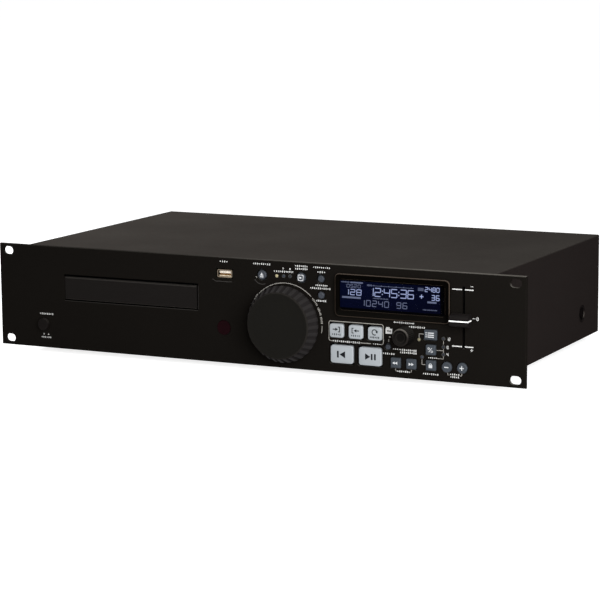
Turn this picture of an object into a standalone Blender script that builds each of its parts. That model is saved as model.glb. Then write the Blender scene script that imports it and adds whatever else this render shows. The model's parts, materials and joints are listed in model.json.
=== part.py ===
"""Rack media player, two units high: disc tray, jog wheel, display, pitch fader and key field.

Metres, +Z up, front towards -Y. The origin is on the floor, under the middle of the whole box.
Pieces are placed in the panel's own frame: X from its middle, Y back from its front face,
Z up from its lower edge.
"""

import math

import bmesh
import bpy
from mathutils import Matrix, Vector

MM = 0.001

# Clearances that every piece shares
GAP = 0.3 * MM
OVERRUN = 1.0 * MM
SINK = 0.5 * MM
WELD = 0.01 * MM
ALONG_AXIS_SHARE = 0.9

# Front panel, a two-unit rack plate
PANEL_WIDTH = 482.6 * MM
PANEL_HEIGHT = 88.1 * MM
PANEL_THICKNESS = 3.0 * MM
PANEL_EDGE_ROUND = 0.6 * MM
EAR_WIDTH = 27.25 * MM
RACK_SLOT_FROM_END = 8.75 * MM
RACK_SLOT_FROM_EDGE = 5.95 * MM
RACK_SLOT_LENGTH = 10.0 * MM
RACK_SLOT_HEIGHT = 7.0 * MM
SLOT_ROUND_SHARE = 0.98
SEAT_DEPTH = 0.3 * MM
SEAT_MARGIN = 0.4 * MM
BOSS_RADIUS = 2.6 * MM
BOSS_FROM_BOARD_END = 3.5 * MM
LEFT_BOSS_HEIGHT_SHARES = (0.114, 0.568)
RIGHT_BOSS_HEIGHT_SHARES = (0.091, 0.908)
MIDDLE_BOSS_PLACE_SHARES = ((0.1390, 0.091), (0.1492, 0.568))

# Sheet-metal case
CASE_DEPTH = 247.0 * MM
CASE_LIFT = 2.8 * MM
CASE_TOP_DROP = 0.2 * MM
CASE_EDGE_ROUND = 1.0 * MM
SHEET = 1.2 * MM
BASE_FLANGE = 32.0 * MM
REAR_INSET = 2.0 * MM
STANDOFF_RADIUS = 3.5 * MM

# Cover screws, two on each side
COVER_SCREW_FROM_FRONT = 43.0 * MM
COVER_SCREW_FROM_REAR = 43.0 * MM
COVER_SCREW_RISE = 22.1 * MM
COVER_SCREW_HEAD_RADIUS = 4.4 * MM
COVER_SCREW_HEAD_HEIGHT = 1.5 * MM
COVER_SCREW_SHANK_RADIUS = 2.0 * MM
COVER_SCREW_LENGTH = 8.0 * MM
SCREW_CROWN_RADIUS_SHARE = 0.6
SCREW_CROWN_HEIGHT_SHARE = 0.9
DIMPLE_RADIUS = 7.5 * MM
DIMPLE_DEPTH = 0.7 * MM

# Feet
FOOT_RADIUS = 10.0 * MM
FOOT_HEIGHT = 6.5 * MM
FOOT_TAPER = 1.5 * MM
FOOT_INSET_X = 30.0 * MM
FOOT_INSET_Y = 27.0 * MM

# Disc tray, its door and its drive
TRAY_OPENING_WIDTH = 129.6 * MM
TRAY_OPENING_HEIGHT = 21.3 * MM
TRAY_FROM_SIDE = 102.25 * MM
TRAY_OPENING_BOTTOM = 42.3 * MM
DOOR_GAP = 0.5 * MM
DOOR_THICKNESS = 4.0 * MM
DOOR_RECESS = 0.5 * MM
DOOR_BEVEL = 0.9 * MM
TRAY_WIDTH = 124.0 * MM
TRAY_TAIL = 14.7 * MM
TRAY_HEIGHT = 7.5 * MM
TRAY_RISE = 4.2 * MM
TRAY_CORNER = 3.0 * MM
DISC_WELL_RADIUS = 60.6 * MM
DISC_WELL_DEPTH = 5.0 * MM
SMALL_DISC_WELL_RADIUS = 40.6 * MM
SMALL_DISC_WELL_DEPTH = 6.0 * MM
DISC_CENTRE_Y = 72.0 * MM
TRAY_SLOT_WIDTH = 40.0 * MM
TRAY_SLOT_FRONT = 20.0 * MM
TRAY_SLOT_CORNER = 16.0 * MM
GEAR_MODULE = 1.5 * MM
PINION_TEETH = 14
PINION_CENTRE_Y = 22.0 * MM
PINION_BORE_RADIUS = 2.5 * MM
TOOTH_ADDENDUM_SHARE = 0.8
TOOTH_DEDENDUM_SHARE = 1.25
RACK_TIP_SHARE = 0.17
ROOT_FLARE_SHARE = 0.3
TIP_RELIEF_SHARE = 0.36
PRESSURE_ANGLE = math.radians(20)
GEAR_THICKNESS = 3.0 * MM
TOOTH_PLAY = 0.4 * MM
RACK_BACK_WIDTH = 3.0 * MM
RACK_OFFSET_X = 46.8 * MM
FRAME_WALL = 2.5 * MM
FRAME_DECK_RISE = 25.2 * MM
FRAME_HEIGHT = 29.0 * MM
FRAME_SIDE_PLAY = 4.0 * MM
FRAME_FRONT = 6.5 * MM
FRAME_TAIL = 16.5 * MM
GUIDE_WIDTH = 6.5 * MM
GUIDE_HEIGHT = 2.7 * MM
HOLD_DOWN_LENGTH = 22.0 * MM
BRIDGE_WIDTH = 44.0 * MM
BRIDGE_THICKNESS = 2.0 * MM
PUCK_FLANGE_RADIUS = 18.0 * MM
PUCK_NECK_RADIUS = 12.5 * MM
PUCK_FLANGE_HEIGHT = 2.2 * MM
PUCK_DROP = 7.0 * MM
PUCK_CUP_RADIUS = 8.0 * MM
PUCK_CUP_DEPTH = 2.5 * MM
SPINDLE_MOTOR_RADIUS = 11.0 * MM
SPINDLE_MOTOR_HEIGHT = 10.0 * MM
SPINDLE_SHAFT_RADIUS = 1.5 * MM
SPINDLE_SHAFT_HEIGHT = 5.0 * MM
TURNTABLE_RADIUS = 15.0 * MM
TURNTABLE_THICKNESS = 2.0 * MM
TURNTABLE_HUB_RADIUS = 4.5 * MM
TURNTABLE_CONE_RADIUS = 7.3 * MM
TURNTABLE_CONE_TOP_RADIUS = 5.5 * MM
TURNTABLE_CONE_HEIGHT = 2.0 * MM
SLED_WIDTH = 36.0 * MM
SLED_LENGTH = 26.0 * MM
SLED_HEIGHT = 7.0 * MM
SLED_TRAVEL = 33.0 * MM
SLED_ROD_RADIUS = 1.5 * MM
SLED_ROD_SPACING = 28.0 * MM
SLED_ROD_BLOCK = 4.0 * MM
SLED_PLAY = 2.0 * MM
SLED_ABOVE_DECK = 2.5 * MM
LENS_RADIUS = 4.0 * MM
LENS_HEIGHT = 4.0 * MM
LENS_FROM_FRONT = 6.0 * MM
TRAY_MOTOR_RADIUS = 12.0 * MM
TRAY_MOTOR_HEIGHT = 14.0 * MM
TRAY_MOTOR_SHAFT_RADIUS = 1.5 * MM
TRAY_MOTOR_SHAFT_LENGTH = 1.5 * MM

# Display
BEZEL_FROM_MENU_KEY = 9.8 * MM
BEZEL_FROM_FADER_CAP = 4.3 * MM
BEZEL_HEIGHT = 34.8 * MM
BEZEL_PROUD = 2.2 * MM
BEZEL_CORNER = 4.0 * MM
BEZEL_EDGE = 0.7 * MM
DISPLAY_HEIGHT_SHARE = 0.7265
WINDOW_FROM_BEZEL_LEFT = 2.1 * MM
WINDOW_FROM_BEZEL_RIGHT = 3.3 * MM
WINDOW_HEIGHT = 24.4 * MM
WINDOW_LIP = 1.2 * MM
WINDOW_THICKNESS = 1.5 * MM
WINDOW_HEIGHT_SHARE = 0.7290
MODULE_MARGIN = 2.7 * MM
MODULE_HEIGHT = 31.0 * MM
MODULE_DEPTH = 6.7 * MM

# Boards
CONTROL_BOARD_SETBACK = 12.0 * MM
CONTROL_BOARD_FROM_DRIVE = 6.3 * MM
CONTROL_BOARD_FROM_SIDE = 7.55 * MM
CONTROL_BOARD_BOTTOM_SHARE = 0.057
CONTROL_BOARD_TOP_SHARE = 0.953
BOARD_THICKNESS = 1.6 * MM
KEY_SWITCH_SIDE = 6.0 * MM
KEY_SWITCH_HEIGHT = 4.0 * MM
MAIN_BOARD_FROM_SIDE = 20.05 * MM
MAIN_BOARD_FROM_DRIVE = 19.3 * MM
MAIN_BOARD_FRONT = 50.0 * MM
MAIN_BOARD_STANDOFF = 8.0 * MM
MAIN_BOARD_STANDOFF_INSET = 8.0 * MM
CAPACITOR_RADIUS = 8.0 * MM
CAPACITOR_HEIGHT = 25.0 * MM
CAPACITOR_PLACE_SHARES = ((-0.42, -0.34), (-0.42, -0.12), (-0.42, 0.10))
HEATSINK_SIZE = (40.0 * MM, 12.0 * MM, 30.0 * MM)
HEATSINK_PLACE_SHARES = (-0.26, 0.36)
CHIP_SIDE = 24.0 * MM
CHIP_HEIGHT = 2.6 * MM
CHIP_PLACE_SHARES = ((-0.05, -0.10), (0.18, -0.10), (0.18, 0.20), (-0.05, 0.20))

# Mains transformer and power parts
TRANSFORMER_WIDTH = 62.0 * MM
TRANSFORMER_DEPTH = 34.0 * MM
TRANSFORMER_HEIGHT = 52.0 * MM
WINDING_WIDTH = 38.0 * MM
WINDING_DEPTH = 52.0 * MM
WINDING_HEIGHT = 32.0 * MM
WINDING_ROUND = 6.0 * MM
TRANSFORMER_CLEARANCE = 8.0 * MM
TRANSFORMER_FROM_REAR = 36.0 * MM
SWITCH_BODY = 16.0 * MM
SWITCH_DEPTH = 24.0 * MM
SWITCH_BORE_DEPTH = 9.0 * MM

# Rear connectors
INLET_FROM_SIDE = 39.05 * MM
INLET_CENTRE_RISE = 30.0 * MM
INLET_FLANGE_WIDTH = 30.6 * MM
INLET_FLANGE_HEIGHT = 24.0 * MM
INLET_FLANGE_THICKNESS = 2.4 * MM
INLET_BODY_WIDTH = 27.0 * MM
INLET_BODY_HEIGHT = 19.6 * MM
INLET_BODY_DEPTH = 19.0 * MM
INLET_CAVITY_WIDTH = 24.0 * MM
INLET_CAVITY_HEIGHT = 16.6 * MM
INLET_CAVITY_DEPTH = 17.0 * MM
INLET_CAVITY_CORNER = 3.0 * MM
INLET_PIN_WIDTH = 2.0 * MM
INLET_PIN_HEIGHT = 4.0 * MM
INLET_PIN_LENGTH = 13.0 * MM
INLET_PIN_SPACING = 7.0 * MM
AUDIO_FROM_SIDE = 74.05 * MM
AUDIO_CENTRE_RISE = 30.0 * MM
AUDIO_PITCH = 14.0 * MM
AUDIO_COUNT = 3
AUDIO_BLOCK_HEIGHT = 13.0 * MM
AUDIO_BLOCK_DEPTH = 12.0 * MM
AUDIO_BARREL_RADIUS = 4.2 * MM
AUDIO_BARREL_REACH = 9.0 * MM
AUDIO_BORE_RADIUS = 1.8 * MM
AUDIO_BORE_DEPTH = 8.0 * MM

# USB socket and remote-control window
USB_PLACE_SHARES = (-0.0459, 0.8456)
USB_WIDTH = 14.6 * MM
USB_HEIGHT = 7.0 * MM
USB_RECESS = 0.3 * MM
USB_WALL = 0.8 * MM
USB_CAVITY_DEPTH = 11.5 * MM
USB_TONGUE_WIDTH = 10.6 * MM
USB_TONGUE_HEIGHT = 1.9 * MM
USB_TONGUE_RISE = 1.2 * MM
USB_TONGUE_LENGTH = 9.0 * MM
INFRARED_PLACE_SHARES = (-0.0479, 0.3348)
INFRARED_RADIUS = 6.0 * MM
INFRARED_PROUD = 0.3 * MM

# Indicator light pipes
LIGHT_RADIUS = 1.5 * MM
LIGHT_PROUD = 0.4 * MM
LIGHT_WEB_THICKNESS = 1.5 * MM
LIGHT_WEB_WIDTH = 4.0 * MM
LIGHT_PLACE_SHARES = {
    "source_light_pipe": ((0.0541, 0.857), (0.0671, 0.8605), (0.0792, 0.8626)),
    "pitch_range_light_pipe": ((0.3572, 0.3927), (0.3572, 0.3156), (0.3572, 0.2486)),
    "status_light_pipe": ((0.3139, 0.3678), (0.3193, 0.2100)),
}

# Jog wheel and its encoder
JOG_PLACE_SHARES = (0.0694, 0.4211)
JOG_FACE_RADIUS = 26.4 * MM
JOG_GRIP_RADIUS = 31.0 * MM
JOG_FOOT_RADIUS = 30.0 * MM
JOG_PROUD = 15.0 * MM
JOG_GRIP_PROUD = 6.5 * MM
JOG_EDGE_ROUND = 0.9 * MM
JOG_LIFT = 0.6 * MM
JOG_HUB_RADIUS = 7.0 * MM
JOG_HUB_LENGTH = 5.0 * MM
JOG_BORE_RADIUS = 3.3 * MM
JOG_BORE_DEPTH = 15.0 * MM
JOG_ENCODER_RADIUS = 13.0 * MM

# Track knob and its encoder
TRACK_PLACE_SHARES = (0.2913, 0.3973)
TRACK_RADIUS = 7.6 * MM
TRACK_FACE_RADIUS = 6.5 * MM
TRACK_PROUD = 13.0 * MM
TRACK_DISH_DEPTH = 0.6 * MM
TRACK_LIFT = 0.6 * MM
TRACK_BORE_RADIUS = 3.0 * MM
TRACK_BORE_DEPTH = 9.0 * MM
TRACK_ENCODER_SIDE = 12.4 * MM
TRACK_BUSH_RADIUS = 3.6 * MM

# Pitch fader
FADER_PLACE_SHARE = 0.3920
FADER_FROM_TOP = 11.1 * MM
FADER_FROM_PLUS_KEY = 10.7 * MM
FADER_REST = -1.2 * MM
FADER_SLOT_WIDTH = 2.4 * MM
FADER_LEVER_WIDTH = 1.4 * MM
FADER_LEVER_HEIGHT = 4.0 * MM
FADER_LEVER_REACH = 9.0 * MM
FADER_CAP_WIDTH = 15.8 * MM
FADER_CAP_HEIGHT = 10.5 * MM
FADER_CAP_PROUD = 11.0 * MM
FADER_CAP_LIFT = 3.0 * MM
FADER_CAP_TAPER = 1.6 * MM
FADER_BODY_WIDTH = 9.5 * MM
FADER_BODY_END = 6.0 * MM

# Keys: kind of cap, and place on the panel
KEY_TRAVEL = 1.0 * MM
KEY_FLANGE = 1.0 * MM
KEY_FLANGE_THICKNESS = 1.0 * MM
KEY_STEM_RADIUS = 1.6 * MM
KEY_CLEARANCE = 0.35 * MM
KEY_EDGE_ROUND = 0.45 * MM
ROUND_KEY_WEB = 4.03 * MM
MIDDLE_ROUND_KEY = 6.8 * MM
SMALL_ROUND_KEY = 5.6 * MM
POWER_KEY = 10.4 * MM
POWER_KEY_FROM_SIDE = 16.25 * MM
POWER_KEY_HEIGHT_SHARE = 0.2281
LOOP_KEY_WEB = 3.39 * MM
LOOP_KEY_HEIGHT = 12.3 * MM
TRANSPORT_KEY_WEB = 3.46 * MM
TRANSPORT_KEY_HEIGHT = 16.3 * MM
SQUARE_KEY_WEB = 4.36 * MM
SQUARE_KEY_HEIGHT = 8.8 * MM
WIDE_KEY_EXTRA = 2.4 * MM
LARGE_KEY_CORNER = 1.6 * MM
SMALL_KEY_CORNER = 0.9 * MM
ROUND_KEY_PROUD = 1.3 * MM
LARGE_KEY_PROUD = 1.8 * MM
POWER_KEY_PROUD = 2.6 * MM
POWER_KEY_TRAVEL = 2.2 * MM

KEY_PLACE_SHARES = {
    "eject_button": (0.0261, 0.8580),
    "source_button": (0.0993, 0.8570),
    "time_button": (0.1361, 0.8570),
    "menu_button": (0.1363, 0.7050),
    "folder_button": (0.2578, 0.2770),
    "minus_button": (0.3630, 0.1362),
    "plus_button": (0.3900, 0.1385),
    "loop_in_button": (0.1643, 0.3916),
    "loop_out_button": (0.1993, 0.3916),
    "reloop_button": (0.2339, 0.3905),
    "cue_button": (0.1741, 0.1759),
    "play_button": (0.2254, 0.1759),
    "rewind_button": (0.2721, 0.1373),
    "forward_button": (0.3000, 0.1373),
    "database_button": (0.3342, 0.4177),
    "percent_button": (0.3346, 0.2815),
    "key_lock_button": (0.3349, 0.1396),
}

# Facets of round shapes
FINE_FACETS = 48
PLAIN_FACETS = 24
SMALL_FACETS = 16
TINY_FACETS = 12

# Sizes and places that follow from the ones above
RACK_SLOT_PITCH_X = PANEL_WIDTH - 2 * RACK_SLOT_FROM_END
RACK_SLOT_PITCH_Z = PANEL_HEIGHT - 2 * RACK_SLOT_FROM_EDGE
CASE_WIDTH = PANEL_WIDTH - 2 * EAR_WIDTH
TRAY_CENTRE_X = TRAY_FROM_SIDE - CASE_WIDTH / 2
INLET_CENTRE_X = INLET_FROM_SIDE - CASE_WIDTH / 2
AUDIO_CENTRE_X = CASE_WIDTH / 2 - AUDIO_FROM_SIDE
CASE_FRONT = PANEL_THICKNESS
CASE_REAR = PANEL_THICKNESS + CASE_DEPTH
CASE_TOP = PANEL_HEIGHT - CASE_TOP_DROP
FLOOR_TOP = CASE_LIFT + SHEET
BASE_WIDTH = CASE_WIDTH - 2 * (SHEET + GAP)
REAR_PANEL_BACK = CASE_REAR - REAR_INSET
REAR_PANEL_FRONT = REAR_PANEL_BACK - SHEET
BEHIND_PANEL = PANEL_THICKNESS - SEAT_DEPTH
PANEL_LIFT = FOOT_HEIGHT + GAP - CASE_LIFT
REAR_REACH = REAR_PANEL_BACK + AUDIO_BARREL_REACH
FRONT_Y = (JOG_PROUD - REAR_REACH) / 2
CONTROL_BOARD_FRONT = PANEL_THICKNESS + CONTROL_BOARD_SETBACK
KEY_SWITCH_FRONT = CONTROL_BOARD_FRONT - KEY_SWITCH_HEIGHT
KEY_STEM_END = KEY_SWITCH_FRONT - KEY_TRAVEL - GAP
KEY_FLANGE_FRONT = BEHIND_PANEL + GAP
LIGHT_WEB_FRONT = KEY_FLANGE_FRONT + KEY_FLANGE_THICKNESS + KEY_TRAVEL + GAP
TRAY_BOTTOM = TRAY_OPENING_BOTTOM + TRAY_RISE
TRAY_TOP = TRAY_BOTTOM + TRAY_HEIGHT
TRAY_FRONT = DOOR_RECESS + DOOR_THICKNESS + GAP
PINION_PITCH_RADIUS = GEAR_MODULE * PINION_TEETH / 2
PINION_CENTRE_X = TRAY_CENTRE_X + RACK_OFFSET_X - PINION_PITCH_RADIUS
GEAR_TOP = TRAY_BOTTOM - GAP
GEAR_BOTTOM = GEAR_TOP - GEAR_THICKNESS
FRAME_BOTTOM = CASE_LIFT + FRAME_DECK_RISE
FRAME_DECK_TOP = FRAME_BOTTOM + FRAME_WALL
FRAME_TOP = FRAME_BOTTOM + FRAME_HEIGHT
FRAME_INNER_WIDTH = TRAY_WIDTH + 2 * FRAME_SIDE_PLAY
FRAME_OUTER_WIDTH = FRAME_INNER_WIDTH + 2 * FRAME_WALL
BRIDGE_BOTTOM = FRAME_TOP + GAP
BRIDGE_TOP = BRIDGE_BOTTOM + BRIDGE_THICKNESS
SPINDLE_MOTOR_BOTTOM = FRAME_DECK_TOP + GAP
SPINDLE_MOTOR_TOP = SPINDLE_MOTOR_BOTTOM + SPINDLE_MOTOR_HEIGHT
TURNTABLE_TOP = TRAY_TOP - DISC_WELL_DEPTH - GAP
SLED_FRONT = DISC_CENTRE_Y + SPINDLE_MOTOR_RADIUS + SLED_ROD_BLOCK + 2 * SLED_PLAY
SLED_BOTTOM = FRAME_DECK_TOP + SLED_ABOVE_DECK
SLED_ROD_Z = SLED_BOTTOM + SLED_HEIGHT / 2
SLED_ROD_FRONT = SLED_FRONT - SLED_PLAY - SLED_ROD_BLOCK / 2
SLED_ROD_REAR = SLED_FRONT + SLED_LENGTH + SLED_TRAVEL + SLED_PLAY + SLED_ROD_BLOCK / 2
FRAME_REAR = SLED_ROD_REAR + SLED_ROD_BLOCK / 2 + FRAME_TAIL
FRAME_LENGTH = FRAME_REAR - FRAME_FRONT
TRAY_LENGTH = FRAME_REAR - TRAY_TAIL - TRAY_FRONT
DRIVE_RIGHT = TRAY_CENTRE_X + FRAME_OUTER_WIDTH / 2
TRANSFORMER_CENTRE_X = DRIVE_RIGHT + TRANSFORMER_CLEARANCE + TRANSFORMER_WIDTH / 2
TRANSFORMER_CENTRE_Y = REAR_PANEL_FRONT - TRANSFORMER_FROM_REAR
MAIN_BOARD_LEFT = DRIVE_RIGHT + MAIN_BOARD_FROM_DRIVE
MAIN_BOARD_RIGHT = CASE_WIDTH / 2 - MAIN_BOARD_FROM_SIDE
MAIN_BOARD_WIDTH = MAIN_BOARD_RIGHT - MAIN_BOARD_LEFT
MAIN_BOARD_CENTRE_X = (MAIN_BOARD_LEFT + MAIN_BOARD_RIGHT) / 2
MAIN_BOARD_REAR = TRANSFORMER_CENTRE_Y - WINDING_DEPTH / 2 - TRANSFORMER_CLEARANCE
MAIN_BOARD_DEPTH = MAIN_BOARD_REAR - MAIN_BOARD_FRONT
MAIN_BOARD_BOTTOM = FLOOR_TOP + MAIN_BOARD_STANDOFF + GAP
CONTROL_BOARD_LEFT = DRIVE_RIGHT + CONTROL_BOARD_FROM_DRIVE
CONTROL_BOARD_RIGHT = CASE_WIDTH / 2 - CONTROL_BOARD_FROM_SIDE


def panel_point(shares):
    """Place on the panel's front face, from shares of its width and height."""
    return shares[0] * PANEL_WIDTH, shares[1] * PANEL_HEIGHT


def key_pitch(left, right):
    """Distance between two neighbouring keys along the panel."""
    return (KEY_PLACE_SHARES[right][0] - KEY_PLACE_SHARES[left][0]) * PANEL_WIDTH


LARGE_ROUND_KEY = key_pitch("minus_button", "plus_button") - ROUND_KEY_WEB
LOOP_KEY_WIDTH = key_pitch("loop_in_button", "loop_out_button") - LOOP_KEY_WEB
TRANSPORT_KEY_WIDTH = key_pitch("cue_button", "play_button") - TRANSPORT_KEY_WEB
SQUARE_KEY_WIDTH = key_pitch("rewind_button", "forward_button") - SQUARE_KEY_WEB
WIDE_KEY_WIDTH = SQUARE_KEY_WIDTH + WIDE_KEY_EXTRA
BEZEL_LEFT = KEY_PLACE_SHARES["menu_button"][0] * PANEL_WIDTH + MIDDLE_ROUND_KEY / 2 + BEZEL_FROM_MENU_KEY
FADER_X = FADER_PLACE_SHARE * PANEL_WIDTH
FADER_SLOT_TOP = PANEL_HEIGHT - FADER_FROM_TOP
PLUS_KEY_TOP = KEY_PLACE_SHARES["plus_button"][1] * PANEL_HEIGHT + LARGE_ROUND_KEY / 2
FADER_SLOT_BOTTOM = PLUS_KEY_TOP + FADER_FROM_PLUS_KEY
FADER_SLOT_LENGTH = FADER_SLOT_TOP - FADER_SLOT_BOTTOM
FADER_SPOT = (FADER_X, (FADER_SLOT_TOP + FADER_SLOT_BOTTOM) / 2)
BEZEL_RIGHT = FADER_X - FADER_CAP_WIDTH / 2 - BEZEL_FROM_FADER_CAP
WINDOW_LEFT = BEZEL_LEFT + WINDOW_FROM_BEZEL_LEFT
WINDOW_RIGHT = BEZEL_RIGHT - WINDOW_FROM_BEZEL_RIGHT
WINDOW_WIDTH = WINDOW_RIGHT - WINDOW_LEFT
WINDOW_SPOT = ((WINDOW_LEFT + WINDOW_RIGHT) / 2, WINDOW_HEIGHT_SHARE * PANEL_HEIGHT)
POWER_KEY_SPOT = (POWER_KEY_FROM_SIDE - CASE_WIDTH / 2, POWER_KEY_HEIGHT_SHARE * PANEL_HEIGHT)

ROUND_KEYS = {
    "eject_button": (LARGE_ROUND_KEY, ROUND_KEY_PROUD),
    "source_button": (LARGE_ROUND_KEY, ROUND_KEY_PROUD),
    "time_button": (MIDDLE_ROUND_KEY, ROUND_KEY_PROUD),
    "menu_button": (MIDDLE_ROUND_KEY, ROUND_KEY_PROUD),
    "folder_button": (SMALL_ROUND_KEY, ROUND_KEY_PROUD),
    "minus_button": (LARGE_ROUND_KEY, ROUND_KEY_PROUD),
    "plus_button": (LARGE_ROUND_KEY, ROUND_KEY_PROUD),
}
SQUARE_KEYS = {
    "loop_in_button": ((LOOP_KEY_WIDTH, LOOP_KEY_HEIGHT), LARGE_KEY_CORNER, LARGE_KEY_PROUD),
    "loop_out_button": ((LOOP_KEY_WIDTH, LOOP_KEY_HEIGHT), LARGE_KEY_CORNER, LARGE_KEY_PROUD),
    "reloop_button": ((LOOP_KEY_WIDTH, LOOP_KEY_HEIGHT), LARGE_KEY_CORNER, LARGE_KEY_PROUD),
    "cue_button": ((TRANSPORT_KEY_WIDTH, TRANSPORT_KEY_HEIGHT), LARGE_KEY_CORNER, LARGE_KEY_PROUD),
    "play_button": ((TRANSPORT_KEY_WIDTH, TRANSPORT_KEY_HEIGHT), LARGE_KEY_CORNER, LARGE_KEY_PROUD),
    "rewind_button": ((SQUARE_KEY_WIDTH, SQUARE_KEY_HEIGHT), SMALL_KEY_CORNER, ROUND_KEY_PROUD),
    "forward_button": ((SQUARE_KEY_WIDTH, SQUARE_KEY_HEIGHT), SMALL_KEY_CORNER, ROUND_KEY_PROUD),
    "database_button": ((WIDE_KEY_WIDTH, SQUARE_KEY_HEIGHT), SMALL_KEY_CORNER, ROUND_KEY_PROUD),
    "percent_button": ((SQUARE_KEY_WIDTH, SQUARE_KEY_HEIGHT), SMALL_KEY_CORNER, ROUND_KEY_PROUD),
    "key_lock_button": ((SQUARE_KEY_WIDTH, SQUARE_KEY_HEIGHT), SMALL_KEY_CORNER, ROUND_KEY_PROUD),
}


def clear_scene():
    for old in list(bpy.data.objects):
        bpy.data.objects.remove(old, do_unlink=True)


def make_collection(name):
    collection = bpy.data.collections.new(name)
    bpy.context.scene.collection.children.link(collection)
    return collection


def make_material(name, colour, roughness, metallic=0.0):
    material = bpy.data.materials.new(name)
    material.use_nodes = True
    shader = material.node_tree.nodes["Principled BSDF"]
    shader.inputs["Base Color"].default_value = (*colour, 1.0)
    shader.inputs["Roughness"].default_value = roughness
    shader.inputs["Metallic"].default_value = metallic
    return material


def add_block(shape, size, centre, round_axis=None, corner=0.0, steps=2):
    """Box in a bmesh, with the four edges along one axis rounded if asked."""
    made = bmesh.ops.create_cube(shape, size=1.0)
    verts = made["verts"]
    bmesh.ops.scale(shape, vec=Vector(size), verts=verts)
    bmesh.ops.translate(shape, vec=Vector(centre), verts=verts)
    if round_axis is None:
        return verts
    edges = []
    for edge in dict.fromkeys(edge for vert in verts for edge in vert.link_edges):
        run = edge.verts[1].co - edge.verts[0].co
        if abs(run.normalized()[round_axis]) > ALONG_AXIS_SHARE:
            edges.append(edge)
    made = bmesh.ops.bevel(
        shape, geom=edges, offset=corner, offset_type="OFFSET", segments=steps, profile=0.5,
        affect="EDGES", material=-1)
    return made["verts"]


def add_disc(shape, radius, length, centre, axis="Y", facets=SMALL_FACETS, end_radius=None):
    """Cylinder or cone in a bmesh; a cone's second radius is at the high end of its axis."""
    turn = {"X": Matrix.Rotation(math.pi / 2, 4, "Y"),
            "Y": Matrix.Rotation(-math.pi / 2, 4, "X"),
            "Z": Matrix.Identity(4)}[axis]
    far = radius if end_radius is None else end_radius
    bmesh.ops.create_cone(
        shape, cap_ends=True, cap_tris=False, segments=facets, radius1=radius, radius2=far,
        depth=length, matrix=Matrix.Translation(Vector(centre)) @ turn)


def finish_mesh(name, shape, collection):
    bmesh.ops.recalc_face_normals(shape, faces=shape.faces)
    mesh = bpy.data.meshes.new(name)
    shape.to_mesh(mesh)
    shape.free()
    item = bpy.data.objects.new(name, mesh)
    collection.objects.link(item)
    return item


def place(item, parent, location=(0.0, 0.0, 0.0), turn=(0.0, 0.0, 0.0)):
    item.parent = parent
    item.location = location
    item.rotation_euler = turn
    return item


def paint(item, material):
    item.data.materials.clear()
    item.data.materials.append(material)
    return item


def as_guide(item):
    item.hide_render = True
    item.display_type = "WIRE"


def combine(item, tool, operation):
    """Boolean of a helper mesh with a piece; the helper shares the piece's place."""
    tool.parent = item.parent
    tool.location = item.location
    tool.rotation_euler = item.rotation_euler
    as_guide(tool)
    modifier = item.modifiers.new(tool.name, "BOOLEAN")
    modifier.operation = operation
    modifier.solver = "EXACT"
    modifier.object = tool


def turned(name, profile, collection, facets):
    """Shape of revolution about local Z; the profile is (radius, height), outer side top to bottom."""
    mesh = bpy.data.meshes.new(name)
    points = [(radius, 0.0, height) for radius, height in profile]
    mesh.from_pydata(points, [(i, i + 1) for i in range(len(points) - 1)], [])
    item = bpy.data.objects.new(name, mesh)
    collection.objects.link(item)
    screw = item.modifiers.new("turn", "SCREW")
    screw.axis = "Z"
    screw.steps = facets
    screw.render_steps = facets
    screw.use_merge_vertices = True
    screw.merge_threshold = WELD
    screw.use_smooth_shade = True
    return item


def flat_shape(name, outlines, thickness, collection):
    """Outlines in the XY plane, extruded both ways; further outlines are holes."""
    curve = bpy.data.curves.new(name, "CURVE")
    curve.dimensions = "2D"
    curve.fill_mode = "BOTH"
    curve.extrude = thickness / 2
    for outline in outlines:
        spline = curve.splines.new("POLY")
        spline.points.add(len(outline) - 1)
        for point, (x, y) in zip(spline.points, outline):
            point.co = (x, y, 0.0, 1.0)
        spline.use_cyclic_u = True
    item = bpy.data.objects.new(name, curve)
    collection.objects.link(item)
    return item


def curve_as_mesh(item, collection):
    """Mesh copy of a curve object, with its caps welded, in the curve's place."""
    name = item.name
    bpy.context.view_layer.update()
    mesh = bpy.data.meshes.new_from_object(item.evaluated_get(bpy.context.evaluated_depsgraph_get()))
    shape = bmesh.new()
    shape.from_mesh(mesh)
    bmesh.ops.remove_doubles(shape, verts=shape.verts, dist=WELD)
    bmesh.ops.recalc_face_normals(shape, faces=shape.faces)
    shape.to_mesh(mesh)
    shape.free()
    matrix = item.matrix_world.copy()
    bpy.data.objects.remove(item, do_unlink=True)
    made = bpy.data.objects.new(name, mesh)
    made.matrix_world = matrix
    collection.objects.link(made)
    return made


FACING = (math.pi / 2, 0.0, 0.0)


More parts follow.
